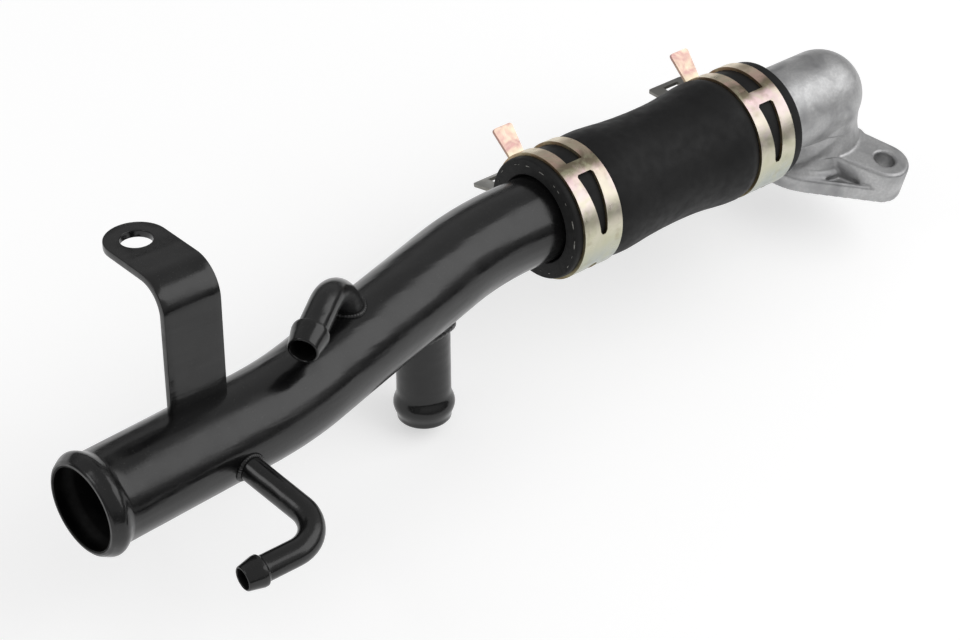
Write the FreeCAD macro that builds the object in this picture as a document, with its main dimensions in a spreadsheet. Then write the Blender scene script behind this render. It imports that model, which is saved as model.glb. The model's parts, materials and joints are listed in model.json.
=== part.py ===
import FreeCAD, Part
import math
import os

import Sketcher

V = FreeCAD.Vector

# Driving dimensions in millimetres and degrees
SIZES = [
    ("axis_height", 26.0, "mounting face of the flange to the axis of the hose"),
    ("hose_face_x", -124.0, "free end of the hose, measured from the flange bore"),
    ("hose_end_x", -27.5, "end of the hose on the elbow"),
    ("pipe_end_x", -95.0, "end of the main pipe inside the hose"),
    ("pipe_radius", 13.5, "outside radius of the main pipe"),
    ("pipe_wall", 1.3, "wall of the main pipe"),
    ("run_hose_x", -131.2, "end of the straight run that leaves the hose"),
    ("bend_radius", 125.0, "centre line radius of both bends"),
    ("mid_run_angle", 14.25, "heading of the middle run"),
    ("near_run_angle", 3.2, "heading of the open end"),
    ("run_mid", 62.7, "length of the middle run"),
    ("run_near", 56.9, "length of the run at the open end"),
    ("rim_bead_rise", 1.6, "height of the rolled bead behind the open end"),
    ("rim_bead_at", 3.4, "centre of the rolled bead from the rim"),
    ("rim_bead_half", 3.35, "half width of the rolled bead"),
    ("rim_lip_drop", 0.2, "the rim is this much smaller than the tube"),
    ("hose_bead_rise", 1.1, "height of the retaining beads under the hose"),
    ("hose_bead_half", 2.0, "half width of the retaining bead"),
    ("hose_bead_back", 3.6, "retaining bead from the end of the tube"),
    ("weld_width", 1.4, "width of the weld round a branch"),
    ("weld_height", 0.9, "height of the weld round a branch"),
    ("branch_radius", 8.2, "outside radius of the lower branch"),
    ("branch_wall", 1.2, "wall of the lower branch"),
    ("branch_at", 11.7, "lower branch along the middle run"),
    ("branch_angle", 254.2, "direction of the lower branch round the pipe"),
    ("branch_lean", -3.6, "lean of the lower branch toward the hose"),
    ("branch_length", 43.9, "pipe axis to the end of the lower branch"),
    ("branch_bead_rise", 1.0, "height of the bead of the lower branch"),
    ("branch_bead_at", 38.9, "pipe axis to the bead of the lower branch"),
    ("branch_bead_half", 3.6, "half width of the bead of the lower branch"),
    ("side_radius", 3.75, "outside radius of the side pipe"),
    ("side_wall", 0.85, "wall of the side pipe"),
    ("side_at", 12.5, "side pipe along the run at the open end"),
    ("side_angle", 178.2, "direction of the side pipe round the main pipe"),
    ("side_lean", 5.8, "lean of the side pipe toward the hose"),
    ("side_aim_angle", 4.0, "roll of the bend about the first leg"),
    ("side_turn_angle", 101.6, "turn of the side pipe"),
    ("side_leg", 32.5, "pipe axis to the start of the bend"),
    ("side_bend", 9.7, "centre line radius of the side pipe bend"),
    ("side_run", 16.4, "second leg of the side pipe"),
    ("side_barb_rise", 0.75, "height of the side pipe barb"),
    ("side_barb_cone", 3.7, "length of the barb cone"),
    ("side_barb_length", 6.6, "length of the barb"),
    ("upper_radius", 4.1, "outside radius of the upper pipe"),
    ("upper_wall", 0.85, "wall of the upper pipe"),
    ("upper_at", 40.8, "upper pipe along the middle run"),
    ("upper_angle", 72.3, "direction of the upper pipe round the main pipe"),
    ("upper_lean", -14.1, "lean of the upper pipe toward the hose"),
    ("upper_aim_angle", 19.7, "roll of the bend about the first leg"),
    ("upper_turn_angle", 84.4, "turn of the upper pipe"),
    ("upper_leg", 14.2, "pipe axis to the start of the bend"),
    ("upper_bend", 13.5, "centre line radius of the upper pipe bend"),
    ("upper_run", 18.3, "second leg of the upper pipe"),
    ("upper_barb_rise", 1.25, "height of the upper pipe barb"),
    ("upper_barb_cone", 4.0, "length of the barb cone"),
    ("upper_barb_length", 7.6, "length of the barb"),
    ("bracket_at", 16.2, "bracket along the run at the open end"),
    ("bracket_angle", 74.0, "direction of the bracket round the main pipe"),
    ("bracket_lean", 0.9, "lean of the bracket toward the hose"),
    ("bracket_aim_angle", 176.7, "roll of the bracket about its strip"),
    ("bracket_width", 18.0, "width of the bracket strip"),
    ("bracket_thickness", 2.3, "thickness of the bracket strip"),
    ("bracket_face", 0.4, "front face of the strip from the pipe axis"),
    ("bracket_height", 53.0, "pipe axis to the top of the tab"),
    ("bracket_reach", 25.5, "pipe axis to the bolt hole"),
    ("bracket_bend", 10.0, "outside radius of the bracket bend"),
    ("bracket_hole", 4.5, "radius of the bracket bolt hole"),
    ("bracket_weld", 1.7, "size of the weld at the foot"),
    ("hose_wall", 5.8, "wall of the hose under a clamp"),
    ("hose_squeeze", 0.2, "the free ends stand this much above the clamped part"),
    ("hose_bulge_rise", 0.7, "the hose over a bead stands this much above the clamped part"),
    ("hose_waist_drop", 0.7, "the waist lies this much below the clamped part"),
    ("hose_bulge_at", 8.5, "top of the bulge from the inner band"),
    ("hose_bulge_length", 18.0, "length of the bulge beside the inner band"),
    ("hose_far_bulge_rise", 1.0, "height of the bulge beside the outer band"),
    ("hose_far_bulge_at", 3.5, "top of that bulge from the outer band"),
    ("hose_far_bulge_length", 15.0, "length of that bulge"),
    ("hose_edge", 0.8, "chamfer of the hose ends"),
    ("hose_shrink", 0.6, "the free bore is this much smaller than the pipe"),
    ("hose_mouth_flare", 0.6, "flare of the mouth"),
    ("hose_mouth_depth", 2.4, "depth of the flared mouth"),
    ("hose_cone", 2.5, "length of the cones beside the free bore"),
    ("bead_clearance", 0.15, "clearance of the hose over a bead"),
    ("clamp_inner_x", -114.0, "middle of the clamp on the main pipe"),
    ("clamp_outer_x", -39.5, "middle of the clamp on the elbow"),
    ("clamp_inner_angle", 0.0, "turn of the clamp on the main pipe"),
    ("clamp_outer_angle", 7.5, "turn of the clamp on the elbow"),
    ("clamp_close_angle", 5.3, "each tang of the elbow clamp stands this much nearer the other"),
    ("clamp_width", 15.0, "width of the clamp band"),
    ("clamp_gauge", 1.0, "thickness of the clamp band"),
    ("clamp_middle_angle", 181.6, "middle of the solid part of the band"),
    ("window_tip_angle", 16.0, "narrow end of the tapered window from that middle"),
    ("window_top_angle", 76.2, "wide end of the tapered window from that middle"),
    ("bridge_angle", 13.0, "angle taken by a bridge"),
    ("clamp_window", 6.3, "width of the windows"),
    ("clamp_window_narrow", 2.6, "width of the tapered window at its tip"),
    ("clamp_tongue", 5.6, "width of the tongue"),
    ("clamp_tongue_tip", 7.4, "width of the tongue at its tip"),
    ("taper_angle", 24.0, "angle over which the band narrows to the tongue"),
    ("slotted_root_angle", -13.5, "bend of the slotted tang"),
    ("slotted_tip_angle", -21.4, "tip of the slotted tang"),
    ("tongue_root_angle", 5.0, "bend of the tongue tang"),
    ("tongue_tip_angle", 16.5, "tip of the tongue tang"),
    ("clamp_tip_radius", 31.8, "distance of both tips from the hose axis"),
    ("clamp_tang_bend", 2.0, "centre line radius of the tang bends"),
    ("clamp_slot_end", 4.4, "length of the slot in the flat of the tang"),
    ("bend_cut_angle", 9.0, "angle the slot runs on round the bend of the tang"),
    ("clamp_window_reach", 9.0, "depth of the cuts that make the windows"),
    ("clamp_corner", 1.0, "corner radius of the tangs"),
    ("elbow_spigot_x", -54.0, "tip of the spigot"),
    ("elbow_step", 0.8, "the horizontal arm is this much larger than the spigot"),
    ("elbow_wall", 2.5, "wall of the spigot, which is as large as the main pipe"),
    ("elbow_shoulder_x", -25.5, "shoulder between spigot and arm"),
    ("neck_flare", 2.9, "the neck at the boss is this much larger than the arm"),
    ("neck_hollow", 0.8, "the flank of the neck is hollow by this much"),
    ("neck_cap", 5.0, "straight part of the neck under the axis"),
    ("boss_radius", 19.0, "radius of the round boss"),
    ("boss_height", 7.0, "height of the round boss"),
    ("flange_radius", 20.5, "radius of the round part of the flange"),
    ("flange_floor", 4.0, "thickness of the flange floor"),
    ("flange_rim", 5.6, "height of the flange rim"),
    ("flange_rim_width", 1.8, "width of the flange rim"),
    ("ear_height", 12.0, "thickness of the bolt ears"),
    ("ear_radius", 8.5, "radius of the bolt ears"),
    ("ear_angle", -64.0, "direction of the front bolt ear"),
    ("bolt_circle", 56.0, "bolt circle diameter"),
    ("bolt_hole", 3.5, "radius of the bolt holes"),
    ("bolt_chamfer", 0.6, "chamfer of the bolt holes"),
    ("cast_round", 1.2, "rounding of cast edges"),
]

# Distance under which a point counts as lying on an edge
TOUCH = 1e-3

doc = FreeCAD.newDocument("CoolantPipeConnector")
sheet = doc.addObject("Spreadsheet::Sheet", "Sizes")
for row, (alias, value, note) in enumerate(SIZES, start=1):
    sheet.set("A%d" % row, note)
    sheet.set("B%d" % row, str(value))
    sheet.setAlias("B%d" % row, alias)
doc.recompute()


def size(alias):
    """Value of a named cell."""
    return float(getattr(sheet, alias))


def polar(radius, degrees):
    """Point of a plane at a radius and an angle."""
    return V(radius * math.cos(math.radians(degrees)), radius * math.sin(math.radians(degrees)), 0)


# Helpers for bodies, sketches and features

def make_body(name):
    """Empty body with a name of its own."""
    body = doc.addObject("PartDesign::Body", name)
    body.Label = name
    return body


def origin_plane(body, role):
    """Origin plane of a body."""
    return [feature for feature in body.Origin.OriginFeatures if feature.Role == role][0]


def add_sketch(body, name, role="XY_Plane", base=V(0, 0, 0), rotation=FreeCAD.Rotation()):
    """Sketch on an origin plane of its body, moved by an offset in that plane's own axes."""
    sketch = body.newObject("Sketcher::SketchObject", name)
    sketch.AttachmentSupport = [(origin_plane(body, role), "")]
    sketch.MapMode = "FlatFace"
    sketch.AttachmentOffset = FreeCAD.Placement(base, rotation)
    return sketch


def circle(sketch, expression, centre=V(0, 0, 0)):
    """Circle whose radius follows an expression of the sheet."""
    index = sketch.addGeometry(Part.Circle(centre, V(0, 0, 1), 1.0), False)
    sketch.addConstraint(Sketcher.Constraint("Radius", index, 1.0))
    sketch.setExpression("Constraints[%d]" % (sketch.ConstraintCount - 1), expression)
    return index


def polygon(sketch, points):
    """Closed outline of straight lines."""
    flat = [V(p[0], p[1], 0) for p in points]
    for start, end in zip(flat, flat[1:] + flat[:1]):
        sketch.addGeometry(Part.LineSegment(start, end), False)


def outline(sketch, edges):
    """Closed outline of ready curves."""
    for edge in edges:
        sketch.addGeometry(edge, False)


def pad(body, name, sketch, length, midplane=False, reverse=False):
    """Pad whose length follows an expression."""
    feature = body.newObject("PartDesign::Pad", name)
    feature.Profile = sketch
    feature.setExpression("Length", length)
    feature.Midplane = midplane
    feature.Reversed = reverse
    sketch.Visibility = False
    return feature


def pocket(body, name, sketch, length, midplane=False, reverse=False):
    """Pocket whose depth follows an expression, checked to take material away."""
    doc.recompute()
    before = body.Shape.Volume
    feature = body.newObject("PartDesign::Pocket", name)
    feature.Profile = sketch
    feature.setExpression("Length", length)
    feature.Midplane = midplane
    feature.Reversed = reverse
    doc.recompute()
    if not body.Shape.Volume < before - 1e-6:
        raise ValueError(name + " cuts nothing")
    return feature


def revolve(body, name, sketch, axis="V_Axis", angle=360.0, groove=False, reverse=False):
    """Revolution or groove about an axis of its sketch."""
    doc.recompute()
    before = body.Shape.Volume if body.Tip else 0.0
    kind = "PartDesign::Groove" if groove else "PartDesign::Revolution"
    feature = body.newObject(kind, name)
    feature.Profile = sketch
    feature.ReferenceAxis = (sketch, [axis])
    feature.Angle = angle
    feature.Reversed = reverse
    doc.recompute()
    if groove and not body.Shape.Volume < before - 1e-6:
        raise ValueError(name + " cuts nothing")
    return feature


def sweep(body, name, profile, path):
    """Solid swept along all edges of a path sketch."""
    feature = body.newObject("PartDesign::AdditivePipe", name)
    feature.Profile = profile
    feature.Spine = (path, ["Edge%d" % (i + 1) for i in range(path.GeometryCount)])
    doc.recompute()
    return feature


def arc_between(centre, radius, start, end):
    """Arc that runs the positive way from one angle to the other, in degrees."""
    full = Part.Circle(centre, V(0, 0, 1), radius)
    return Part.ArcOfCircle(full, math.radians(start), math.radians(end))


def line(start, end):
    """Straight edge."""
    return Part.LineSegment(start, end)


def arc_through(start, middle, end):
    """Arc through three points."""
    return Part.Arc(start, middle, end)


# Centre line of the main pipe, in the plane of the hose axis
BEND = size("bend_radius")
MID = math.radians(size("mid_run_angle"))
NEAR = math.radians(size("near_run_angle"))


def heading(angle):
    """Unit direction of a run, toward the open end."""
    return V(-math.cos(angle), -math.sin(angle), 0)


def left_of(angle):
    """Unit direction to the left of a run."""
    return V(math.sin(angle), -math.cos(angle), 0)


# A rolled bead rises by this share of its height on its flanks, and its crown takes this share of its width
FLANK_RISE = 0.5
CROWN_SHARE = 0.55

run_start = V(size("pipe_end_x"), 0, 0)
first_bend = V(size("run_hose_x"), 0, 0)
first_centre = first_bend + left_of(0.0) * BEND
mid_start = first_centre - left_of(MID) * BEND
first_middle = first_centre - left_of(MID / 2) * BEND
mid_end = mid_start + heading(MID) * size("run_mid")
second_centre = mid_end - left_of(MID) * BEND
near_start = second_centre + left_of(NEAR) * BEND
second_middle = second_centre + left_of((MID + NEAR) / 2) * BEND
rim = near_start + heading(NEAR) * size("run_near")
AXIS = V(0, 0, size("axis_height"))


def pipe_path(body, name):
    """Sketch of the centre line."""
    path = add_sketch(body, name)
    path.setExpression("AttachmentOffset.Base.z", "Sizes.axis_height")
    path.addGeometry(line(run_start, first_bend), False)
    path.addGeometry(arc_through(first_bend, first_middle, mid_start), False)
    path.addGeometry(line(mid_start, mid_end), False)
    path.addGeometry(arc_through(mid_end, second_middle, near_start), False)
    path.addGeometry(line(near_start, rim), False)
    return path


def pipe_section(body, name, radii):
    """Section of the pipe at the end inside the hose."""
    section = add_sketch(body, name, "YZ_Plane")
    section.setExpression("AttachmentOffset.Base.y", "Sizes.axis_height")
    section.setExpression("AttachmentOffset.Base.z", "Sizes.pipe_end_x")
    for radius in radii:
        circle(section, radius)
    return section


def bead_outline(at, half, top, foot, thickness):
    """Closed outline of a rolled bead: x is the radius, y runs back from the end of the tube."""
    flank = V(foot + (top - foot) * FLANK_RISE, at - half * CROWN_SHARE, 0)
    far_flank = V(flank.x, at + half * CROWN_SHARE, 0)
    low = foot - thickness
    edges = [
        line(V(foot, at - half, 0), flank),
        arc_through(flank, V(top, at, 0), far_flank),
        line(far_flank, V(foot, at + half, 0)),
    ]
    back = [V(foot, at + half, 0), V(low, at + half, 0), V(low, at - half, 0), V(foot, at - half, 0)]
    return edges + [line(a, b) for a, b in zip(back, back[1:])]


def flat_bead(at, half, top, foot, thickness):
    """Closed outline of a bead that a hose hides: sloped flanks and a flat crown."""
    crown = half * CROWN_SHARE / 2
    low = foot - thickness
    return [(low, at - half), (foot, at - half), (top, at - crown), (top, at + crown), (foot, at + half), (low, at + half)]


def turned(angle):
    """Rotation in a sketch plane by an angle in radians."""
    return FreeCAD.Rotation(V(0, 0, 1), math.degrees(angle))


# Main pipe: one bent steel tube with a rolled bead at each end
pipe_body = make_body("pipe_tube")
pipe_sweep = sweep(
    pipe_body,
    "TubeSweep",
    pipe_section(pipe_body, "TubeSection", ["Sizes.pipe_radius", "Sizes.pipe_radius - Sizes.pipe_wall"]),
    pipe_path(pipe_body, "TubePath"),
)
TUBE = size("pipe_radius")
WALL = size("pipe_wall")
RIM_TOP = TUBE + size("rim_bead_rise")
RIM_HALF = size("rim_bead_half")
SUNK = WALL / 2

# The sketch of the rim bead lies in the bend plane, with its vertical axis back along the tube
rim_bead = add_sketch(pipe_body, "RimBead", "XY_Plane", rim + AXIS, turned(NEAR - math.pi / 2))
outline(rim_bead, bead_outline(size("rim_bead_at"), RIM_HALF, RIM_TOP, TUBE, SUNK))
revolve(pipe_body, "RimBeadRing", rim_bead)

inner_bead = add_sketch(pipe_body, "RimBeadInside", "XY_Plane", rim + AXIS, turned(NEAR - math.pi / 2))
polygon(inner_bead, flat_bead(size("rim_bead_at"), RIM_HALF - SUNK / 2, RIM_TOP - WALL, TUBE - WALL, SUNK))
revolve(pipe_body, "RimBeadHollow", inner_bead, groove=True)

lip = add_sketch(pipe_body, "RimLip", "XY_Plane", rim + AXIS, turned(NEAR - math.pi / 2))
DROP = size("rim_lip_drop")
polygon(lip, [(TUBE - 2 * DROP, -DROP), (TUBE + 2 * DROP, -DROP), (TUBE + 2 * DROP, 3 * DROP), (TUBE, 3 * DROP)])
revolve(pipe_body, "RimLipRound", lip, groove=True)

hose_bead = add_sketch(pipe_body, "HoseBead", "XY_Plane", run_start + AXIS, turned(math.pi / 2))
HELD_TOP = TUBE + size("hose_bead_rise")
HELD_HALF = size("hose_bead_half")
polygon(hose_bead, flat_bead(size("hose_bead_back"), HELD_HALF, HELD_TOP, TUBE, SUNK))
revolve(pipe_body, "HoseBeadRing", hose_bead)

# Solid outside of the tube, used to fit what is welded to it
envelope = make_body("pipe_envelope")
sweep(
    envelope,
    "EnvelopeSweep",
    pipe_section(envelope, "EnvelopeSection", ["Sizes.pipe_radius"]),
    pipe_path(envelope, "EnvelopePath"),
)


def mount_frame(start, angle, along, direction, lean, aim):
    """Placement at the pipe axis: z leaves the pipe, x is the way a bend turns."""
    run = heading(angle)
    side = V(-math.sin(angle), math.cos(angle), 0)
    around = math.radians(direction)
    out = side * math.cos(around) + V(0, 0, 1) * math.sin(around)
    tip = math.radians(lean)
    z_axis = out * math.cos(tip) - run * math.sin(tip)
    flat = (run - z_axis * run.dot(z_axis)).normalize()
    roll = math.radians(aim)
    x_axis = flat * math.cos(roll) + z_axis.cross(flat) * math.sin(roll)
    rotation = FreeCAD.Rotation(x_axis, z_axis.cross(x_axis), z_axis, "ZXY")
    return FreeCAD.Placement(start + run * along + AXIS, rotation)


def cylinder(name, radius, length, placement, back=0.0):
    """Cylinder bound to the sheet."""
    item = doc.addObject("Part::Cylinder", name)
    item.setExpression("Radius", radius)
    item.Height = length
    item.Placement = placement.multiply(FreeCAD.Placement(V(0, 0, -back), FreeCAD.Rotation()))
    return item


def cut(name, base, tool):
    """Difference of two objects."""
    item = doc.addObject("Part::Cut", name)
    item.Label = name
    item.Base = base
    item.Tool = tool
    return item


def run_frame(start, angle, along):
    """Placement at the pipe axis with z along the run."""
    direction = heading(angle)
    return FreeCAD.Placement(start + direction * along + AXIS, FreeCAD.Rotation(V(0, 0, 1), direction))


def weld_ring(prefix, placement, along_run):
    """Weld round the foot of a branch: a collar that stands a little proud of the pipe."""
    reach = size(prefix + "_radius") + 3 * size("weld_width")
    collar = cylinder(prefix + "_collar", "Sizes.%s_radius + Sizes.weld_width" % prefix, 2 * TUBE, placement)
    skin = cylinder(prefix + "_skin", "Sizes.pipe_radius + Sizes.weld_height", 2 * reach, along_run, reach)
    plug = doc.addObject("Part::MultiCommon", prefix + "_plug")
    plug.Shapes = [collar, skin]
    core = cylinder(prefix + "_core", "Sizes.%s_radius - Sizes.%s_wall / 2" % (prefix, prefix), 2 * TUBE, placement)
    return cut(prefix + "_weld", plug, core)


def branch_node(name, prefix, body, placement, along_run):
    """A welded branch: its tube and its weld, cut where the pipe is."""
    joined = doc.addObject("Part::Fuse", prefix + "_joined")
    joined.Base = body
    joined.Tool = weld_ring(prefix, placement, along_run)
    fitted = cut(name, joined, envelope)
    doc.recompute()
    return fitted


# Lower branch: a straight stub with a bead
branch_frame = mount_frame(mid_start, MID, size("branch_at"), size("branch_angle"), size("branch_lean"), 0.0)
branch_body = make_body("branch_tube")
branch_section = add_sketch(branch_body, "BranchSection")
circle(branch_section, "Sizes.branch_radius")
circle(branch_section, "Sizes.branch_radius - Sizes.branch_wall")
pad(branch_body, "BranchPad", branch_section, "Sizes.branch_length")
branch_bead = add_sketch(branch_body, "BranchBead", "XZ_Plane")
BRANCH = size("branch_radius")
outline(branch_bead, bead_outline(
    size("branch_bead_at"), size("branch_bead_half"), BRANCH + size("branch_bead_rise"), BRANCH, size("branch_wall") / 2))
revolve(branch_body, "BranchBeadRing", branch_bead)
branch_body.Placement = branch_frame


def bent_branch(prefix, frame):
    """Thin tube with one bend and a barbed end."""
    body = make_body(prefix + "_tube")
    leg = size(prefix + "_leg")
    radius = size(prefix + "_bend")
    turn = math.radians(size(prefix + "_turn_angle"))
    bend_start = V(0, leg, 0)
    centre = V(radius, leg, 0)
    bend_middle = centre + V(-radius * math.cos(turn / 2), radius * math.sin(turn / 2), 0)
    bend_end = centre + V(-radius * math.cos(turn), radius * math.sin(turn), 0)
    run = V(math.sin(turn), math.cos(turn), 0)
    end = bend_end + run * size(prefix + "_run")
    path = add_sketch(body, prefix + "Path", "XZ_Plane")
    outline(path, [line(V(0, 0, 0), bend_start), arc_through(bend_start, bend_middle, bend_end), line(bend_end, end)])
    section = add_sketch(body, prefix + "Section")
    circle(section, "Sizes.%s_radius" % prefix)
    circle(section, "Sizes.%s_radius - Sizes.%s_wall" % (prefix, prefix))
    sweep(body, prefix + "Sweep", section, path)
    # The barb is turned about the second leg; its vertical axis runs back from the tip
    barb = add_sketch(body, prefix + "Barb", "XZ_Plane", end, turned(math.pi - turn))
    outside = size(prefix + "_radius")
    rise = size(prefix + "_barb_rise")
    full = size(prefix + "_barb_length")
    inner = outside - size(prefix + "_wall") / 2
    polygon(barb, [
        (inner, 0),
        (outside, 0),
        (outside + rise, size(prefix + "_barb_cone")),
        (outside + rise, full - rise),
        (outside, full),
        (inner, full),
    ])
    revolve(body, prefix + "BarbRing", barb)
    body.Placement = frame
    return body


side_frame = mount_frame(near_start, NEAR, size("side_at"), size("side_angle"), size("side_lean"), size("side_aim_angle"))
side_body = bent_branch("side", side_frame)
upper_frame = mount_frame(mid_start, MID, size("upper_at"), size("upper_angle"), size("upper_lean"), size("upper_aim_angle"))
upper_body = bent_branch("upper", upper_frame)
doc.recompute()

branch_run = run_frame(mid_start, MID, size("branch_at"))
side_run = run_frame(near_start, NEAR, size("side_at"))
upper_run = run_frame(mid_start, MID, size("upper_at"))
lower_branch = branch_node("lower_branch", "branch", branch_body, branch_frame, branch_run)
side_pipe = branch_node("side_pipe", "side", side_body, side_frame, side_run)
upper_pipe = branch_node("upper_pipe", "upper", upper_body, upper_frame, upper_run)

# Ports through the wall of the main pipe, one under each branch
ports = doc.addObject("Part::MultiFuse", "ports")
ports.Shapes = [
    cylinder(prefix + "_port", "Sizes.%s_radius - Sizes.%s_wall" % (prefix, prefix), 2 * TUBE, place)
    for prefix, place in (("branch", branch_frame), ("side", side_frame), ("upper", upper_frame))
]
main_pipe = cut("main_pipe", pipe_body, ports)
doc.recompute()

# Mounting bracket: a strip that stands on the pipe and bends over to a bolt tab
bracket_frame = mount_frame(
    near_start, NEAR, size("bracket_at"), size("bracket_angle"), size("bracket_lean"), size("bracket_aim_angle"))
bracket_body = make_body("bracket_strip")
FACE = size("bracket_face")
GAUGE = size("bracket_thickness")
TOP = size("bracket_height")
REACH = size("bracket_reach")
OUTER = size("bracket_bend")
bend_centre = V(FACE + OUTER, TOP - OUTER, 0)
strip = add_sketch(bracket_body, "StripProfile", "YZ_Plane")
outline(strip, [
    line(V(FACE, 0, 0), V(FACE, TOP - OUTER, 0)),
    arc_between(bend_centre, OUTER, 90, 180),
    line(V(FACE + OUTER, TOP, 0), V(REACH, TOP, 0)),
    line(V(REACH, TOP, 0), V(REACH, TOP - GAUGE, 0)),
    line(V(REACH, TOP - GAUGE, 0), V(FACE + OUTER, TOP - GAUGE, 0)),
    arc_between(bend_centre, OUTER - GAUGE, 90, 180),
    line(V(FACE + GAUGE, TOP - OUTER, 0), V(FACE + GAUGE, 0, 0)),
    line(V(FACE + GAUGE, 0, 0), V(FACE, 0, 0)),
])
pad(bracket_body, "StripPad", strip, "Sizes.bracket_width", midplane=True)
tab = add_sketch(bracket_body, "TabEnd", "XY_Plane")
tab.setExpression("AttachmentOffset.Base.y", "Sizes.bracket_reach")
tab.setExpression("AttachmentOffset.Base.z", "Sizes.bracket_height")
circle(tab, "Sizes.bracket_width / 2")
pad(bracket_body, "TabPad", tab, "Sizes.bracket_thickness", reverse=True)
hole = add_sketch(bracket_body, "TabHole", "XY_Plane")
hole.setExpression("AttachmentOffset.Base.y", "Sizes.bracket_reach")
hole.setExpression("AttachmentOffset.Base.z", "Sizes.bracket_height")
circle(hole, "Sizes.bracket_hole")
pocket(bracket_body, "TabHolePocket", hole, "Sizes.bracket_thickness + 1")
WELD = size("bracket_weld")
foot = add_sketch(bracket_body, "FootWeld", "YZ_Plane")
BACK = FACE + GAUGE
polygon(foot, [
    (FACE - WELD, TUBE - 2 * WELD),
    (FACE - WELD, TUBE),
    (FACE - WELD / 2, TUBE + WELD * 2 / 3),
    (FACE, TUBE + WELD),
    (BACK, TUBE + WELD),
    (BACK + WELD / 2, TUBE + WELD * 2 / 3),
    (BACK + WELD, TUBE),
    (BACK + WELD, TUBE - 2 * WELD),
])
pad(bracket_body, "FootWeldPad", foot, "Sizes.bracket_width + Sizes.bracket_weld", midplane=True)
bracket_body.Placement = bracket_frame
mounting_bracket = cut("mounting_bracket", bracket_body, envelope)
doc.recompute()

# Connecting hose: a moulded rubber sleeve, wider over the beads and waisted between the clamps
HOSE_NEAR = size("hose_face_x")
HOSE_FAR = size("hose_end_x")
CLAMPED = TUBE + size("hose_wall")
BULGE = CLAMPED + size("hose_bulge_rise")
WAIST = CLAMPED - size("hose_waist_drop")
FREE_END = CLAMPED + size("hose_squeeze")
EDGE = size("hose_edge")
STEP = 3 * size("hose_squeeze")
HALF_BAND = size("clamp_width") / 2
near_band = size("clamp_inner_x")
far_band = size("clamp_outer_x")
span_near = near_band + HALF_BAND
span_far = far_band - HALF_BAND
slope_near = span_near + size("hose_bulge_length")
slope_far = span_far - size("hose_far_bulge_length")
waist_middle = (slope_near + slope_far) / 2
SLOPE = (CLAMPED + WAIST) / 2
PEAK = size("hose_bulge_at")
hose_body = make_body("connecting_hose")
hose_profile = add_sketch(hose_body, "HoseProfile", "XZ_Plane")
hose_profile.setExpression("AttachmentOffset.Base.y", "Sizes.axis_height")
FREE = TUBE - size("hose_shrink")
CLEAR = size("bead_clearance")
SLACK = 8 * CLEAR
bead_top = HELD_TOP + CLEAR
crown_half = HELD_HALF * CROWN_SHARE / 2 + SLACK
bead_foot = HELD_HALF + SLACK + (bead_top - TUBE) / 2
bead_mid = size("pipe_end_x") - size("hose_bead_back")
far_bead_mid = size("elbow_spigot_x") + size("hose_bead_back")
CONE = size("hose_cone")
inner = [
    V(HOSE_FAR, TUBE, 0),
    V(far_bead_mid + bead_foot, TUBE, 0),
    V(far_bead_mid + crown_half, bead_top, 0),
    V(far_bead_mid - crown_half, bead_top, 0),
    V(size("elbow_spigot_x") - CLEAR, TUBE + CLEAR, 0),
    V(size("elbow_spigot_x") - CONE, FREE, 0),
    V(size("pipe_end_x") + CONE, FREE, 0),
    V(size("pipe_end_x") + CLEAR, TUBE + CLEAR, 0),
    V(bead_mid + crown_half, bead_top, 0),
    V(bead_mid - crown_half, bead_top, 0),
    V(bead_mid - bead_foot, TUBE, 0),
    V(HOSE_NEAR + size("hose_mouth_depth"), TUBE, 0),
    V(HOSE_NEAR, TUBE + size("hose_mouth_flare"), 0),
]
near_end = [
    V(HOSE_NEAR, FREE_END - EDGE, 0),
    V(HOSE_NEAR + EDGE, FREE_END, 0),
    V(near_band - HALF_BAND - STEP, FREE_END, 0),
    V(near_band - HALF_BAND, CLAMPED, 0),
    V(span_near, CLAMPED, 0),
]
far_end = [
    V(span_far, CLAMPED, 0),
    V(far_band + HALF_BAND, CLAMPED, 0),
    V(far_band + HALF_BAND + STEP, FREE_END, 0),
    V(HOSE_FAR - EDGE, FREE_END, 0),
    V(HOSE_FAR, FREE_END - EDGE, 0),
]
near_end += [
    V(span_near + PEAK / 3, (CLAMPED + 2 * BULGE) / 3, 0),
    V(span_near + PEAK, BULGE, 0),
    V(slope_near, SLOPE, 0),
]
far_end.insert(0, V(span_far - size("hose_far_bulge_at"), CLAMPED + size("hose_far_bulge_rise"), 0))
far_end.insert(0, V(slope_far, SLOPE, 0))
near_side = [inner[-1]] + near_end
far_side = far_end + inner
outline(hose_profile, [line(a, b) for a, b in zip(near_side, near_side[1:])])
outline(hose_profile, [arc_through(near_end[-1], V(waist_middle, WAIST, 0), far_end[0])])
outline(hose_profile, [line(a, b) for a, b in zip(far_side, far_side[1:])])
revolve(hose_body, "HoseRevolve", hose_profile, "H_Axis")

# Spring band clamps. Each ring lies in its body's XY plane, with its width along Z
BAND = size("clamp_gauge")
RING = CLAMPED + BAND / 2
CENTRE = size("clamp_middle_angle")
TANG = size("clamp_tang_bend")


def tang_geometry(root, tip, way):
    """Bend centre, bend end and tip of a tang; way is +1 when the band arrives counterclockwise."""
    bend = polar(RING + TANG, root)
    end = polar(size("clamp_tip_radius"), tip)
    reach = end - bend
    distance = reach.Length
    swing = math.acos(TANG / distance)
    base_angle = math.atan2(reach.y, reach.x)
    touch_angle = base_angle + way * swing
    touch = bend + V(math.cos(touch_angle), math.sin(touch_angle), 0) * TANG
    return bend, touch, touch_angle, end


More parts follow.
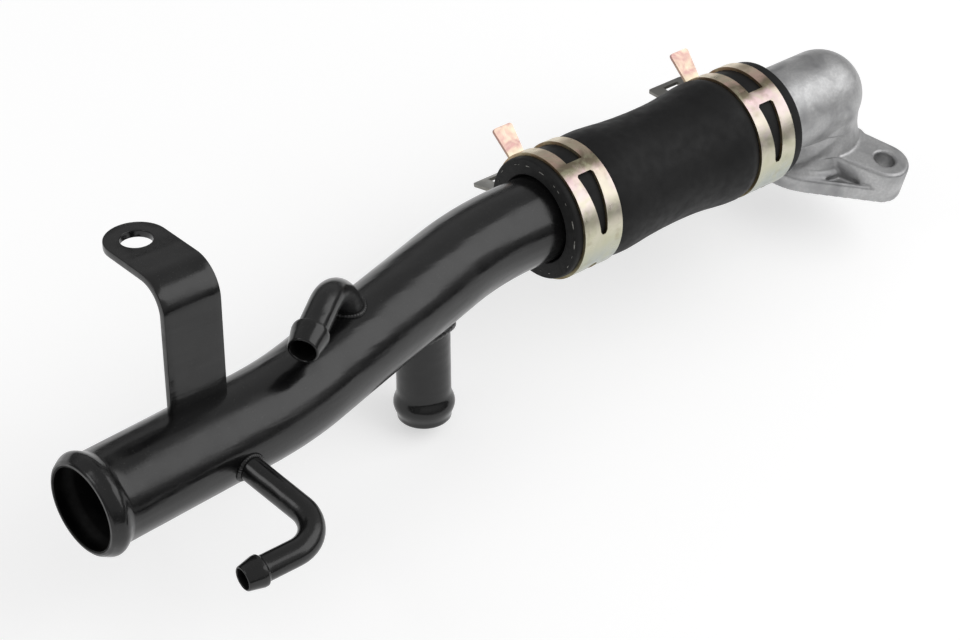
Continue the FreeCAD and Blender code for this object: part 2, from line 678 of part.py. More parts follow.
def tang_outline(root, tip, way, far_angle):
    """Outline of the band from far_angle to the end of the bend that starts its tang."""
    bend, touch, touch_angle, _ = tang_geometry(root, tip, way)
    half = BAND / 2
    across = V(math.cos(touch_angle), math.sin(touch_angle), 0)
    low = math.degrees(touch_angle)
    high = math.degrees(math.atan2(-bend.y, -bend.x))
    if way < 0:
        low, high = high, low
    high = low + (high - low) % 360
    edges = []
    for offset in (half, -half):
        ends = (far_angle, root) if way > 0 else (root, far_angle)
        edges.append(arc_between(V(0, 0, 0), RING - offset, *ends))
        edges.append(arc_between(bend, TANG + offset, low, high))
    edges.append(line(polar(RING - half, far_angle), polar(RING + half, far_angle)))
    edges.append(line(bend + across * (TANG - half), bend + across * (TANG + half)))
    return edges


def tang_plate(body, name, root, tip, way, near_width, far_width, slot_width=0.0):
    """Flat of a tang: a plate with rounded corners, and a slot where the tongue comes through."""
    _, touch, touch_angle, end = tang_geometry(root, tip, way)
    across = V(math.cos(touch_angle), math.sin(touch_angle), 0)
    direction = (end - touch).normalize()
    reach = (end - touch).Length
    corner = size("clamp_corner")
    sketch = body.newObject("Sketcher::SketchObject", name + "Outline")
    sketch.AttachmentSupport = [(origin_plane(body, "XY_Plane"), "")]
    sketch.MapMode = "FlatFace"
    width_axis = direction.cross(across)
    sketch.AttachmentOffset = FreeCAD.Placement(touch, FreeCAD.Rotation(width_axis, direction, across, "ZXY"))
    near = near_width / 2
    far = far_width / 2
    edges = [line(V(far, reach - corner, 0), V(near, 0, 0)), line(V(-near, 0, 0), V(-far, reach - corner, 0))]
    edges += [
        arc_between(V(far - corner, reach - corner, 0), corner, 0, 90),
        line(V(far - corner, reach, 0), V(corner - far, reach, 0)),
        arc_between(V(corner - far, reach - corner, 0), corner, 90, 180),
    ]
    if slot_width:
        slot = slot_width / 2
        depth = size("clamp_slot_end")
        edges += [
            line(V(near, 0, 0), V(slot, 0, 0)),
            line(V(slot, 0, 0), V(slot, depth, 0)),
            line(V(slot, depth, 0), V(-slot, depth, 0)),
            line(V(-slot, depth, 0), V(-slot, 0, 0)),
            line(V(-slot, 0, 0), V(-near, 0, 0)),
        ]
    else:
        edges.append(line(V(near, 0, 0), V(-near, 0, 0)))
    outline(sketch, edges)
    pad(body, name, sketch, "Sizes.clamp_gauge", midplane=True)
    doc.recompute()


def window_sketch(body, name, middle_angle, points):
    """Sketch that faces outward from the ring at an angle: x along the hose, y round the ring."""
    sketch = body.newObject("Sketcher::SketchObject", name)
    sketch.AttachmentSupport = [(origin_plane(body, "XY_Plane"), "")]
    sketch.MapMode = "FlatFace"
    outward = polar(1.0, middle_angle)
    around = polar(1.0, middle_angle + 90)
    rotation = FreeCAD.Rotation(V(0, 0, 1), outward.cross(V(0, 0, 1)), outward, "ZXY")
    sketch.AttachmentOffset = FreeCAD.Placement(outward * (RING + BAND), rotation)
    check = rotation.multVec(V(0, 1, 0)).dot(around)
    flip = 1 if check > 0 else -1
    polygon(sketch, [(x, y * flip) for x, y in points])
    return sketch


def tapered_points(top_way):
    """Tapered window seen from outside: wide end at +y when top_way is +1, with clipped corners."""
    spread = (size("window_top_angle") - size("window_tip_angle")) / 2
    half_long = RING * math.sin(math.radians(spread))
    wide = size("clamp_window") / 2
    narrow = size("clamp_window_narrow") / 2
    clip = 0.7
    points = [
        (-wide + clip, half_long), (wide - clip, half_long), (wide, half_long - clip),
        (narrow, -half_long + narrow), (narrow * 0.5, -half_long + narrow * 0.25),
        (-narrow * 0.5, -half_long + narrow * 0.25), (-narrow, -half_long + narrow), (-wide, half_long - clip),
    ]
    return [(x, y * top_way) for x, y in points]


def make_clamp(name, middle_x, turn, close):
    """One spring band clamp. close brings each of its tangs nearer to the other."""
    body = make_body(name)
    female_root = size("slotted_root_angle") + close
    female_tip = size("slotted_tip_angle") + close
    male_root = size("tongue_root_angle") - close
    male_tip = size("tongue_tip_angle") - close
    lower_bridge = CENTRE + size("window_top_angle") + size("bridge_angle")
    upper_bridge = CENTRE - size("window_top_angle") - size("bridge_angle")
    narrow_end = lower_bridge + size("taper_angle")
    # Band from the slotted tang round to where it has narrowed to the tongue
    band = add_sketch(body, name + "Band")
    outline(band, tang_outline(female_root, female_tip, -1, narrow_end))
    pad(body, name + "BandPad", band, "Sizes.clamp_width", midplane=True)
    doc.recompute()
    # Slot between the two side strips, from the bridge round the bend of the tang
    half = size("clamp_window") / 2
    slot = add_sketch(body, name + "Slot", "XZ_Plane")
    slot_start = female_root - size("bend_cut_angle")
    slot.AttachmentOffset = FreeCAD.Placement(V(0, 0, 0), FreeCAD.Rotation(V(0, 1, 0), slot_start))
    depth = TANG + BAND
    polygon(slot, [(RING - depth, -half), (RING + depth, -half), (RING + depth, half), (RING - depth, half)])
    revolve(body, name + "SlotGroove", slot, "V_Axis", upper_bridge - slot_start, groove=True)
    width = size("clamp_width")
    tang_plate(body, name + "SlottedTang", female_root, female_tip, -1, width, width, size("clamp_window"))
    # Tapered windows on both sides of the solid part
    spread_mid = (size("window_top_angle") + size("window_tip_angle")) / 2
    for label, sign in (("Upper", -1), ("Lower", 1)):
        window = window_sketch(body, name + label, CENTRE + sign * spread_mid, tapered_points(sign))
        pocket(body, name + label + "Pocket", window, "Sizes.clamp_window_reach")
    # Sides of the band cut away where it narrows to the tongue
    taper_mid = (lower_bridge + narrow_end) / 2
    length = RING * math.sin(math.radians(size("taper_angle") / 2))
    full = width / 2
    past = full * 1.2
    tongue = size("clamp_tongue") / 2
    for label, side in (("Left", -1), ("Right", 1)):
        points = [
            (side * past, -length), (side * full, -length), (side * tongue, length),
            (side * tongue, length + past), (side * past, length + past),
        ]
        taper = window_sketch(body, name + label + "Taper", taper_mid, points)
        pocket(body, name + label + "TaperPocket", taper, "Sizes.clamp_window_reach")
    # Tongue that passes through the slotted tang and ends in a tang of its own
    tongue_sketch = add_sketch(body, name + "Tongue")
    outline(tongue_sketch, tang_outline(male_root + 360, male_tip + 360, 1, narrow_end - 1.0))
    pad(body, name + "TonguePad", tongue_sketch, "Sizes.clamp_tongue", midplane=True)
    doc.recompute()
    tang_plate(body, name + "TongueTang", male_root, male_tip, 1, size("clamp_tongue"), size("clamp_tongue_tip"))
    upright = FreeCAD.Rotation(V(0, 1, 0), V(0, 0, 1), V(1, 0, 0), "ZXY")
    body.Placement = FreeCAD.Placement(V(middle_x, 0, 0) + AXIS, upright.multiply(FreeCAD.Rotation(V(0, 0, 1), turn)))
    return body


clamp_inner = make_clamp("hose_clamp_inner", near_band, size("clamp_inner_angle"), 0.0)
clamp_outer = make_clamp("hose_clamp_outer", far_band, size("clamp_outer_angle"), size("clamp_close_angle"))

# Elbow flange: one casting with a flange, a neck, a round corner and a spigot for the hose
elbow = make_body("elbow_flange")
EAR = size("ear_radius")
DISC = size("flange_radius")
ear_places = [polar(size("bolt_circle") / 2, size("ear_angle") + 180 * k) for k in range(2)]


def diamond(disc, ear):
    """Outline of a two-ear flange: a disc and two ear circles joined by tangents."""
    reach = size("bolt_circle") / 2
    tilt = math.degrees(math.acos((disc - ear) / reach))
    edges = []
    for k in range(2):
        base = size("ear_angle") + 180 * k
        ear_centre = polar(reach, base)
        edges.append(arc_between(ear_centre, ear, base - tilt, base + tilt))
        edges.append(line(ear_centre + polar(ear, base + tilt), polar(disc, base + tilt)))
        edges.append(arc_between(V(0, 0, 0), disc, base + tilt, base + 180 - tilt))
        edges.append(line(polar(disc, base + 180 - tilt), polar(reach, base + 180) + polar(ear, base + 180 - tilt)))
    return edges


def edges_at(height, keep):
    """Names of the elbow's edges that lie flat at a height and pass the keep test all along."""
    doc.recompute()
    chosen = []
    for number, edge in enumerate(elbow.Shape.Edges, start=1):
        first, last = edge.FirstParameter, edge.LastParameter
        points = [edge.valueAt(first + (last - first) * k / 4) for k in range(5)]
        if max(abs(point.z - height) for point in points) < TOUCH and all(keep(point) for point in points):
            chosen.append("Edge%d" % number)
    return chosen


def ease(kind, name, chosen, amount, expression):
    """Fillet or chamfer of named edges, sized by the sheet."""
    base = elbow.Tip
    feature = elbow.newObject("PartDesign::" + kind, name)
    feature.Base = (base, chosen)
    feature.setExpression(amount, expression)
    doc.recompute()


plate = add_sketch(elbow, "FlangeOutline")
outline(plate, diamond(DISC, EAR))
pad(elbow, "FlangePad", plate, "Sizes.flange_rim")
ease("Chamfer", "FlangeEdge", edges_at(size("flange_rim"), lambda point: True), "Size", "Sizes.cast_round / 2")
floor = add_sketch(elbow, "FlangeFloor")
floor.setExpression("AttachmentOffset.Base.z", "Sizes.flange_rim")
RIMW = size("flange_rim_width")
outline(floor, diamond(DISC - RIMW, EAR - RIMW))
pocket(elbow, "FlangeFloorPocket", floor, "Sizes.flange_rim - Sizes.flange_floor")
boss = add_sketch(elbow, "Boss")
circle(boss, "Sizes.boss_radius")
pad(elbow, "BossPad", boss, "Sizes.boss_height")
ease("Chamfer", "BossEdge", edges_at(size("boss_height"), lambda point: True), "Size", "Sizes.cast_round")
ears = add_sketch(elbow, "Ears")
EAR_ROOT = TUBE
EAR_SPREAD = EAR + size("cast_round") / 2
for k in range(2):
    base = size("ear_angle") + 180 * k
    out = polar(1.0, base)
    side = polar(1.0, base + 90)
    centre = polar(size("bolt_circle") / 2, base)
    root = out * EAR_ROOT
    outline(ears, [
        arc_between(centre, EAR, base - 90, base + 90),
        line(centre + side * EAR, root + side * EAR_SPREAD),
        line(root + side * EAR_SPREAD, root - side * EAR_SPREAD),
        line(root - side * EAR_SPREAD, centre - side * EAR),
    ])
pad(elbow, "EarPad", ears, "Sizes.ear_height")
ear_edges = edges_at(size("ear_height"), lambda point: math.hypot(point.x, point.y) > EAR_ROOT + TOUCH)
ease("Fillet", "EarRound", ear_edges, "Radius", "Sizes.cast_round")

neck = add_sketch(elbow, "NeckProfile", "XZ_Plane")
ARM = TUBE + size("elbow_step")
NECK_LOW = ARM + size("neck_flare")
HEIGHT = size("axis_height")
BOSS = size("boss_height")
HOLLOW = size("neck_hollow")
flare_low = V(NECK_LOW, BOSS + size("cast_round"), 0)
flare_high = V(ARM, HEIGHT - size("neck_cap"), 0)
across = (flare_high - flare_low).cross(V(0, 0, 1)).normalize()
flare_middle = (flare_low + flare_high) * 0.5 - across * HOLLOW
outline(neck, [
    line(V(0, HOLLOW, 0), V(NECK_LOW, HOLLOW, 0)),
    line(V(NECK_LOW, HOLLOW, 0), flare_low),
    arc_through(flare_low, flare_middle, flare_high),
    line(flare_high, V(ARM, HEIGHT, 0)),
    line(V(ARM, HEIGHT, 0), V(0, HEIGHT, 0)),
    line(V(0, HEIGHT, 0), V(0, HOLLOW, 0)),
])
revolve(elbow, "NeckRevolve", neck)

arm = add_sketch(elbow, "ArmProfile", "XZ_Plane")
arm.setExpression("AttachmentOffset.Base.y", "Sizes.axis_height")
SHOULDER = size("elbow_shoulder_x")
TIP = size("elbow_spigot_x")
NOSE = size("cast_round") / 2
outline(arm, [
    line(V(TIP, 0, 0), V(TIP, TUBE - NOSE, 0)),
    line(V(TIP, TUBE - NOSE, 0), V(TIP + NOSE, TUBE, 0)),
    line(V(TIP + NOSE, TUBE, 0), V(SHOULDER - size("elbow_step"), TUBE, 0)),
    line(V(SHOULDER - size("elbow_step"), TUBE, 0), V(SHOULDER, ARM, 0)),
    line(V(SHOULDER, ARM, 0), V(0, ARM, 0)),
    arc_between(V(0, 0, 0), ARM, 0, 90),
    line(V(ARM, 0, 0), V(TIP, 0, 0)),
])
revolve(elbow, "ArmRevolve", arm, "H_Axis")
spigot_bead = add_sketch(elbow, "SpigotBead", "XZ_Plane", V(TIP, HEIGHT, 0), turned(-math.pi / 2))
polygon(spigot_bead, flat_bead(size("hose_bead_back"), HELD_HALF, HELD_TOP, TUBE, size("elbow_wall") / 2))
revolve(elbow, "SpigotBeadRing", spigot_bead)

bore_arm = add_sketch(elbow, "BoreArm", "XZ_Plane")
bore_arm.setExpression("AttachmentOffset.Base.y", "Sizes.axis_height")
BORE = TUBE - size("elbow_wall")
PAST = TIP - NOSE
outline(bore_arm, [
    line(V(PAST, 0, 0), V(PAST, BORE, 0)),
    line(V(PAST, BORE, 0), V(0, BORE, 0)),
    arc_between(V(0, 0, 0), BORE, 0, 90),
    line(V(BORE, 0, 0), V(PAST, 0, 0)),
])
revolve(elbow, "BoreArmGroove", bore_arm, "H_Axis", groove=True)
bore_neck = add_sketch(elbow, "BoreNeck")
circle(bore_neck, "Sizes.pipe_radius - Sizes.elbow_wall")
pocket(elbow, "BoreNeckPocket", bore_neck, "Sizes.axis_height", reverse=True)
bolts = add_sketch(elbow, "BoltHoles")
bolts.setExpression("AttachmentOffset.Base.z", "Sizes.ear_height")
for place in ear_places:
    circle(bolts, "Sizes.bolt_hole", place)
pocket(elbow, "BoltHolePocket", bolts, "Sizes.ear_height + 1")


def on_bolt_hole(point):
    """Whether a point of the ears' top lies on the rim of a bolt hole."""
    rims = [abs(math.hypot(point.x - place.x, point.y - place.y) - size("bolt_hole")) for place in ear_places]
    return min(rims) < TOUCH


ease("Chamfer", "BoltChamfer", edges_at(size("ear_height"), on_bolt_hole), "Size", "Sizes.bolt_chamfer")

NODES = {
    "main_pipe": main_pipe,
    "lower_branch": lower_branch,
    "side_pipe": side_pipe,
    "upper_pipe": upper_pipe,
    "mounting_bracket": mounting_bracket,
    "connecting_hose": hose_body,
    "hose_clamp_inner": clamp_inner,
    "hose_clamp_outer": clamp_outer,
    "elbow_flange": elbow,
}

# Nothing is written unless every object is sound
for item in doc.Objects:
    if "Invalid" in item.State or "Error" in item.State:
        raise RuntimeError("%s failed: %s" % (item.Name, item.State))
for name, item in NODES.items():
    shape = item.Shape
    if shape.isNull() or not shape.isValid() or len(shape.Solids) != 1:
        raise RuntimeError("%s is not one sound solid: %d" % (name, len(shape.Solids)))

os.makedirs("parts", exist_ok=True)
for name, item in NODES.items():
    item.Shape.exportStep(os.path.join("parts", name + ".step"))
    print(name, round(item.Shape.Volume, 1), item.Shape.BoundBox)
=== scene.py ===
import json
import logging
import math
from dataclasses import dataclass
from enum import Enum

import bmesh
import bpy
from mathutils import Matrix, Vector, noise

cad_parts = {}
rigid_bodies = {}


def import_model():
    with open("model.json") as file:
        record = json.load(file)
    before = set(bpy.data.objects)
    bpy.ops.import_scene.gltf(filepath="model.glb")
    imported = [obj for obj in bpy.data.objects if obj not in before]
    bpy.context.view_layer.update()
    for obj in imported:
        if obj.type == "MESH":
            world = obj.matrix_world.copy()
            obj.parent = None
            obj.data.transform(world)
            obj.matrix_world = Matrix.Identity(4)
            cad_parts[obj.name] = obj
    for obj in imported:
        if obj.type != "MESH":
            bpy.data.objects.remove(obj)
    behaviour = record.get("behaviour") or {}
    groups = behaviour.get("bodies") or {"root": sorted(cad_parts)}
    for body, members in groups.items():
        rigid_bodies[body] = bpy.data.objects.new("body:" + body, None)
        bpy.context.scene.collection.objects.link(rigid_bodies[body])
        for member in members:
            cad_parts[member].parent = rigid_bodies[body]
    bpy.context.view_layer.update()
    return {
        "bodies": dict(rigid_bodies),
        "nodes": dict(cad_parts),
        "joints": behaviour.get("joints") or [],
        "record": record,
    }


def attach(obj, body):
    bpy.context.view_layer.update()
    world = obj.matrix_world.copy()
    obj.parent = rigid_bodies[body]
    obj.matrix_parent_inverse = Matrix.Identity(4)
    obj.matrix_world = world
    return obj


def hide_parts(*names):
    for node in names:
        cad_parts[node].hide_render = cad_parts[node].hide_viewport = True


MM = 0.001
MERGE = 1e-6
ROOT_SHARE = 0.5
ROOT_SINK = 0.5 * MM
WHITE = (1.0, 1.0, 1.0, 1.0)
RANGE_INPUTS = ("From Min", "From Max", "To Min", "To Max")
log = logging.getLogger("coolant_pipe")

Colour = tuple[float, float, float]
Triple = tuple[float, float, float]
Span = tuple[float, float, float, float]
Stop = tuple[float, Colour]
Point = tuple[float, float]
Name = str | int
Profile = list[Point]
Edges = list[bmesh.types.BMEdge]
Vertices = list[bmesh.types.BMVert]
Socket = bpy.types.NodeSocket
Material = bpy.types.Material


class Slot(Enum):
    """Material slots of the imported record."""

    PAINT = "pipe_paint"
    RUBBER = "hose_rubber"
    ZINC = "clamp_zinc"
    ALLOY = "cast_alloy"


# Shading


@dataclass(frozen=True)
class Pattern:
    """Noise with its features per metre, octaves, distortion and stretch along the axes."""

    scale: float
    detail: float = 3.0
    twist: float = 0.0
    stretch: Triple | None = None


@dataclass(frozen=True)
class Layer:
    """One layer of relief."""

    pattern: Pattern
    strength: float
    depth: float


@dataclass(frozen=True)
class Speck:
    """Second colour that shows where a pattern is strong."""

    pattern: Pattern
    share: Span
    colour: Colour


class Shading:
    """Node material on a Principled shader that reads Object coordinates."""

    def __init__(self, name: str) -> None:
        """Start an empty material.

        Args:
            name: name of the material.
        """
        self.material = bpy.data.materials.new(name)
        self.material.use_nodes = True
        self.tree = self.material.node_tree
        self.shader = self.tree.nodes["Principled BSDF"]
        self.place = self.tree.nodes.new("ShaderNodeTexCoord").outputs["Object"]

    def node(self, kind: str, output: Name, inputs: dict[Name, object], **settings: object) -> Socket:
        """Add a node and fill its inputs.

        Args:
            kind: type of the node.
            output: name or number of the output that is wanted.
            inputs: socket or constant of each input.
            settings: properties of the node.

        Returns:
            The output socket.
        """
        made = self.tree.nodes.new("ShaderNode" + kind)
        for name, value in settings.items():
            setattr(made, name, value)
        for name, value in inputs.items():
            self.fill(made.inputs[name], value)
        return made.outputs[output]

    def fill(self, target: Socket, value: object) -> None:
        """Link an input to a socket or give it a constant.

        Args:
            target: the input.
            value: socket or constant.
        """
        if isinstance(value, Socket):
            self.tree.links.new(value, target)
        else:
            target.default_value = value

    def set(self, name: str, value: object) -> None:
        """Fill an input of the shader."""
        self.fill(self.shader.inputs[name], value)

    def mapped(self, scale: Triple, shift: Triple = (0.0, 0.0, 0.0)) -> Socket:
        """Object coordinates, stretched and then shifted."""
        return self.node("Mapping", "Vector", {"Scale": scale, "Location": shift, "Vector": self.place})

    def clouds(self, pattern: Pattern) -> Socket:
        """Noise of a pattern.

        Args:
            pattern: its size and kind.

        Returns:
            The value socket.
        """
        return self.node("TexNoise", "Fac", {
            "Scale": pattern.scale,
            "Detail": pattern.detail,
            "Distortion": pattern.twist,
            "Vector": self.mapped(pattern.stretch) if pattern.stretch else self.place,
        })

    def ramp(self, value: Socket, stops: tuple[Stop, ...]) -> Socket:
        """Colour ramp over a value.

        Args:
            value: driving socket.
            stops: positions and colours.

        Returns:
            The colour socket.
        """
        made = self.tree.nodes.new("ShaderNodeValToRGB")
        line = made.color_ramp
        while len(line.elements) < len(stops):
            line.elements.new(0.5)
        for element, (position, colour) in zip(line.elements, stops):
            element.position = position
            element.color = (*colour, 1.0)
        self.fill(made.inputs["Fac"], value)
        return made.outputs["Color"]

    def spread(self, value: Socket, span: Span) -> Socket:
        """Value mapped from the first two numbers of a span to the others, clamped."""
        return self.node("MapRange", "Result", {"Value": value, **dict(zip(RANGE_INPUTS, span))})

    def blend(self, share: Socket, first: Socket, second: Colour) -> Socket:
        """Share of a second colour over the first."""
        return self.node("Mix", 2, {"Factor": share, 6: first, 7: (*second, 1.0)}, data_type="RGBA")

    def speckled(self, base: Socket, speck: Speck) -> Socket:
        """Colour with specks over it."""
        return self.blend(self.spread(self.clouds(speck.pattern), speck.share), base, speck.colour)

    def math(self, operation: str, first: Socket, second: Socket | float) -> Socket:
        """Arithmetic on two values."""
        return self.node("Math", 0, {0: first, 1: second}, operation=operation)

    def part(self, axis: str) -> Socket:
        """One object coordinate."""
        return self.node("SeparateXYZ", axis, {0: self.place})

    def turn(self, height: float) -> Socket:
        """Angle round the line along x at a height, from the front upward."""
        rise = self.math("SUBTRACT", self.part("Z"), height)
        return self.math("ARCTAN2", rise, self.math("MULTIPLY", self.part("Y"), -1.0))

    def reach(self, height: float) -> Socket:
        """Distance from the line along x at a height."""
        arm = self.mapped((0.0, 1.0, 1.0), (0.0, 0.0, -height))
        return self.node("VectorMath", "Value", {0: arm}, operation="LENGTH")

    def relief(self, layers: tuple[Layer, ...]) -> None:
        """Bump of several layers, led to the shader.

        Args:
            layers: from the lowest.
        """
        normal: dict[Name, Socket] = {}
        for layer in layers:
            height = self.clouds(layer.pattern)
            inputs = {"Strength": layer.strength, "Distance": layer.depth, "Height": height, **normal}
            normal = {"Normal": self.node("Bump", "Normal", inputs)}
        for name, socket in normal.items():
            self.set(name, socket)


@dataclass(frozen=True)
class Finish:
    """Clouded colour, gloss and fine relief, which each real finish sets in its own way."""

    name: str
    tone: Pattern
    stops: tuple[Stop, ...]
    gloss: Span
    haze: Pattern | None = None
    specks: tuple[Speck, ...] = ()
    layers: tuple[Layer, ...] = ()
    index: float = 1.5
    metallic: float = 0.0

    def colour(self, shade: Shading) -> Socket:
        """Colour of the surface.

        Args:
            shade: material that takes the nodes.

        Returns:
            The colour socket.
        """
        base = shade.ramp(shade.clouds(self.tone), self.stops)
        for speck in self.specks:
            base = shade.speckled(base, speck)
        return base

    def material(self) -> Material:
        """Build the material.

        Returns:
            The material.
        """
        shade = Shading(self.name)
        shade.set("Base Color", self.colour(shade))
        rough = shade.spread(shade.clouds(self.haze), self.gloss) if self.haze else self.gloss[-1]
        shade.set("Roughness", rough)
        shade.set("Metallic", self.metallic)
        shade.set("IOR", self.index)
        shade.relief(self.layers)
        return shade.material


@dataclass(frozen=True)
class BlackPaint(Finish):
    """Semi-gloss black paint over steel tube, a little wavy along it and dusty."""

    name: str = "black_paint"
    tone: Pattern = Pattern(70.0, 4.0)
    stops: tuple[Stop, ...] = ((0.35, (0.002, 0.002, 0.0022)), (0.65, (0.006, 0.006, 0.0062)))
    gloss: Span = (0.3, 0.7, 0.16, 0.27)
    haze: Pattern = Pattern(160.0, 5.0)
    specks: tuple[Speck, ...] = (
        Speck(Pattern(2600.0, 1.0), (0.70, 0.75, 0.0, 0.6), (0.05, 0.05, 0.048)),
    )
    layers: tuple[Layer, ...] = (
        Layer(Pattern(1.0, 2.0, 0.2, (14.0, 85.0, 85.0)), 0.6, 1.1 * MM),
        Layer(Pattern(1.0, 3.0, 0.3, (34.0, 250.0, 250.0)), 0.3, 0.35 * MM),
        Layer(Pattern(900.0), 0.12, 0.12 * MM),
    )


@dataclass(frozen=True)
class BarePaint(Finish):
    """Thin matt paint and dust inside the tubes."""

    name: str = "inner_paint"
    tone: Pattern = Pattern(220.0, 5.0)
    stops: tuple[Stop, ...] = ((0.35, (0.002, 0.002, 0.002)), (0.7, (0.006, 0.0058, 0.0055)))
    gloss: Span = (0.3, 0.7, 0.5, 0.7)
    haze: Pattern = Pattern(400.0)
    layers: tuple[Layer, ...] = (Layer(Pattern(700.0, 4.0), 0.3, 0.15 * MM),)
    index: float = 1.25


@dataclass(frozen=True)
class MouldedRubber(Finish):
    """Matt moulded rubber with a faint bloom."""

    name: str = "moulded_rubber"
    tone: Pattern = Pattern(45.0, 5.0, 0.4)
    stops: tuple[Stop, ...] = ((0.3, (0.0065, 0.0065, 0.0068)), (0.7, (0.011, 0.011, 0.0112)))
    gloss: Span = (0.3, 0.7, 0.5, 0.66)
    haze: Pattern = Pattern(300.0, 4.0)
    layers: tuple[Layer, ...] = (
        Layer(Pattern(120.0), 0.10, 0.3 * MM),
        Layer(Pattern(2400.0, 2.0), 0.22, 0.06 * MM),
    )
    index: float = 1.3


@dataclass(frozen=True)
class CutRubber(Finish):
    """Rough cut face of the hose."""

    name: str = "cut_rubber"
    tone: Pattern = Pattern(500.0, 4.0)
    stops: tuple[Stop, ...] = ((0.3, (0.003, 0.003, 0.003)), (0.8, (0.014, 0.014, 0.014)))
    gloss: Span = (0.0, 1.0, 0.8, 0.8)
    layers: tuple[Layer, ...] = (Layer(Pattern(1500.0, 4.0), 0.5, 0.2 * MM),)


@dataclass(frozen=True)
class Thread(Finish):
    """Pale reinforcing thread, cut off flush."""

    name: str = "thread"
    tone: Pattern = Pattern(1800.0, 2.0)
    stops: tuple[Stop, ...] = ((0.3, (0.16, 0.16, 0.15)), (0.7, (0.42, 0.41, 0.38)))
    gloss: Span = (0.0, 1.0, 0.85, 0.85)


@dataclass(frozen=True)
class ZincPlate(Finish):
    """Yellow zinc with a pink and a grey tang; its colour round the clamp is part plating tone, part painted
    reflection and shade.
    """

    name: str = "zinc_plate"
    tone: Pattern = Pattern(90.0, 3.0, 1.2)
    # painted reflection and shade: these colours by angle round the clamp, such as the dark olive band, stand
    # partly for how the lamps reflect and partly for the plating's own tone
    stops: tuple[Stop, ...] = (
        (0.05, (0.44, 0.45, 0.43)), (0.30, (0.42, 0.45, 0.41)), (0.42, (0.54, 0.53, 0.41)),
        (0.54, (0.68, 0.63, 0.52)), (0.62, (0.58, 0.51, 0.47)), (0.71, (0.52, 0.44, 0.43)),
        (0.765, (0.56, 0.42, 0.42)), (0.81, (0.22, 0.19, 0.13)), (0.85, (0.22, 0.18, 0.13)),
        (0.91, (0.66, 0.47, 0.39)), (0.98, (0.78, 0.66, 0.50)))
    gloss: Span = (0.3, 0.7, 0.26, 0.40)
    haze: Pattern = Pattern(420.0, 4.0)
    specks: tuple[Speck, ...] = (
        Speck(Pattern(130.0, 3.0, 1.5), (0.45, 0.62, 0.0, 0.45), (0.50, 0.50, 0.34)),
        Speck(Pattern(210.0, 5.0), (0.58, 0.72, 0.0, 0.3), (0.26, 0.20, 0.10)),
    )
    layers: tuple[Layer, ...] = (
        Layer(Pattern(1400.0), 0.10, 0.05 * MM),
        Layer(Pattern(140.0, 2.0), 0.12, 0.15 * MM),
    )
    metallic: float = 1.0
    axis_height: float = 26.0 * MM
    tone_and_sheen_arc: Span = (-1.2, 2.0, 0.0, 1.0)
    unevenness: Span = (0.3, 0.7, -0.035, 0.035)
    tang_start: float = 21.5 * MM
    tang_full: float = 24.5 * MM
    fade: float = 3.0 * MM
    pink: Colour = (0.44, 0.27, 0.25)
    pink_clouds: Pattern = Pattern(240.0, 3.0, 1.0)
    pink_share: Span = (0.35, 0.65, 0.35, 1.0)
    grey: Colour = (0.24, 0.235, 0.22)
    grey_share: float = 0.95

    def colour(self, shade: Shading) -> Socket:
        """Colour by the angle round the clamp, part plating tone and part painted reflection and shade, with
        the ends that stand out in pink and grey.

        Args:
            shade: material that takes the nodes.

        Returns:
            The colour socket.
        """
        cloud = shade.spread(shade.clouds(self.tone), self.unevenness)
        # painted reflection and shade: the ramp by angle round the clamp lays light and dark bands over the
        # plating's own tone
        turn = shade.spread(shade.turn(self.axis_height), self.tone_and_sheen_arc)
        base = shade.ramp(shade.math("ADD", cloud, turn), self.stops)
        for speck in self.specks:
            base = shade.speckled(base, speck)
        height = shade.part("Z")
        out = shade.spread(shade.reach(self.axis_height), (self.tang_start, self.tang_full, 0.0, 1.0))
        above = shade.spread(height, (self.axis_height, self.axis_height + self.fade, 0.0, 1.0))
        above = shade.math("MULTIPLY", above, shade.spread(shade.clouds(self.pink_clouds), self.pink_share))
        below = shade.spread(height, (self.axis_height, self.axis_height - self.fade, 0.0, self.grey_share))
        base = shade.blend(shade.math("MULTIPLY", out, above), base, self.pink)
        return shade.blend(shade.math("MULTIPLY", out, below), base, self.grey)


@dataclass(frozen=True)
class ShearedZinc(ZincPlate):
    """Thin brown plating on the sheared edges of the band, lighter and darker round the clamp as painted
    reflection and shade.
    """

    name: str = "sheared_edge"
    stops: tuple[Stop, ...] = (
        (0.1, (0.22, 0.17, 0.09)), (0.5, (0.34, 0.26, 0.14)), (0.9, (0.42, 0.29, 0.18)))
    gloss: Span = (0.3, 0.7, 0.4, 0.55)


@dataclass(frozen=True)
class CastAlloy(Finish):
    """Blasted cast aluminium."""

    name: str = "cast_alloy"
    tone: Pattern = Pattern(95.0, 6.0, 0.6)
    stops: tuple[Stop, ...] = (
        (0.3, (0.27, 0.27, 0.275)), (0.5, (0.46, 0.46, 0.46)), (0.75, (0.56, 0.56, 0.56)))
    gloss: Span = (0.3, 0.7, 0.38, 0.52)
    haze: Pattern = Pattern(260.0, 5.0)
    specks: tuple[Speck, ...] = (Speck(Pattern(1100.0), (0.35, 0.6, 0.0, 0.35), (0.33, 0.33, 0.34)),)
    layers: tuple[Layer, ...] = (
        Layer(Pattern(150.0, 4.0), 0.30, 0.4 * MM),
        Layer(Pattern(1300.0, 4.0), 0.60, 0.10 * MM),
    )
    metallic: float = 0.8


# Geometry


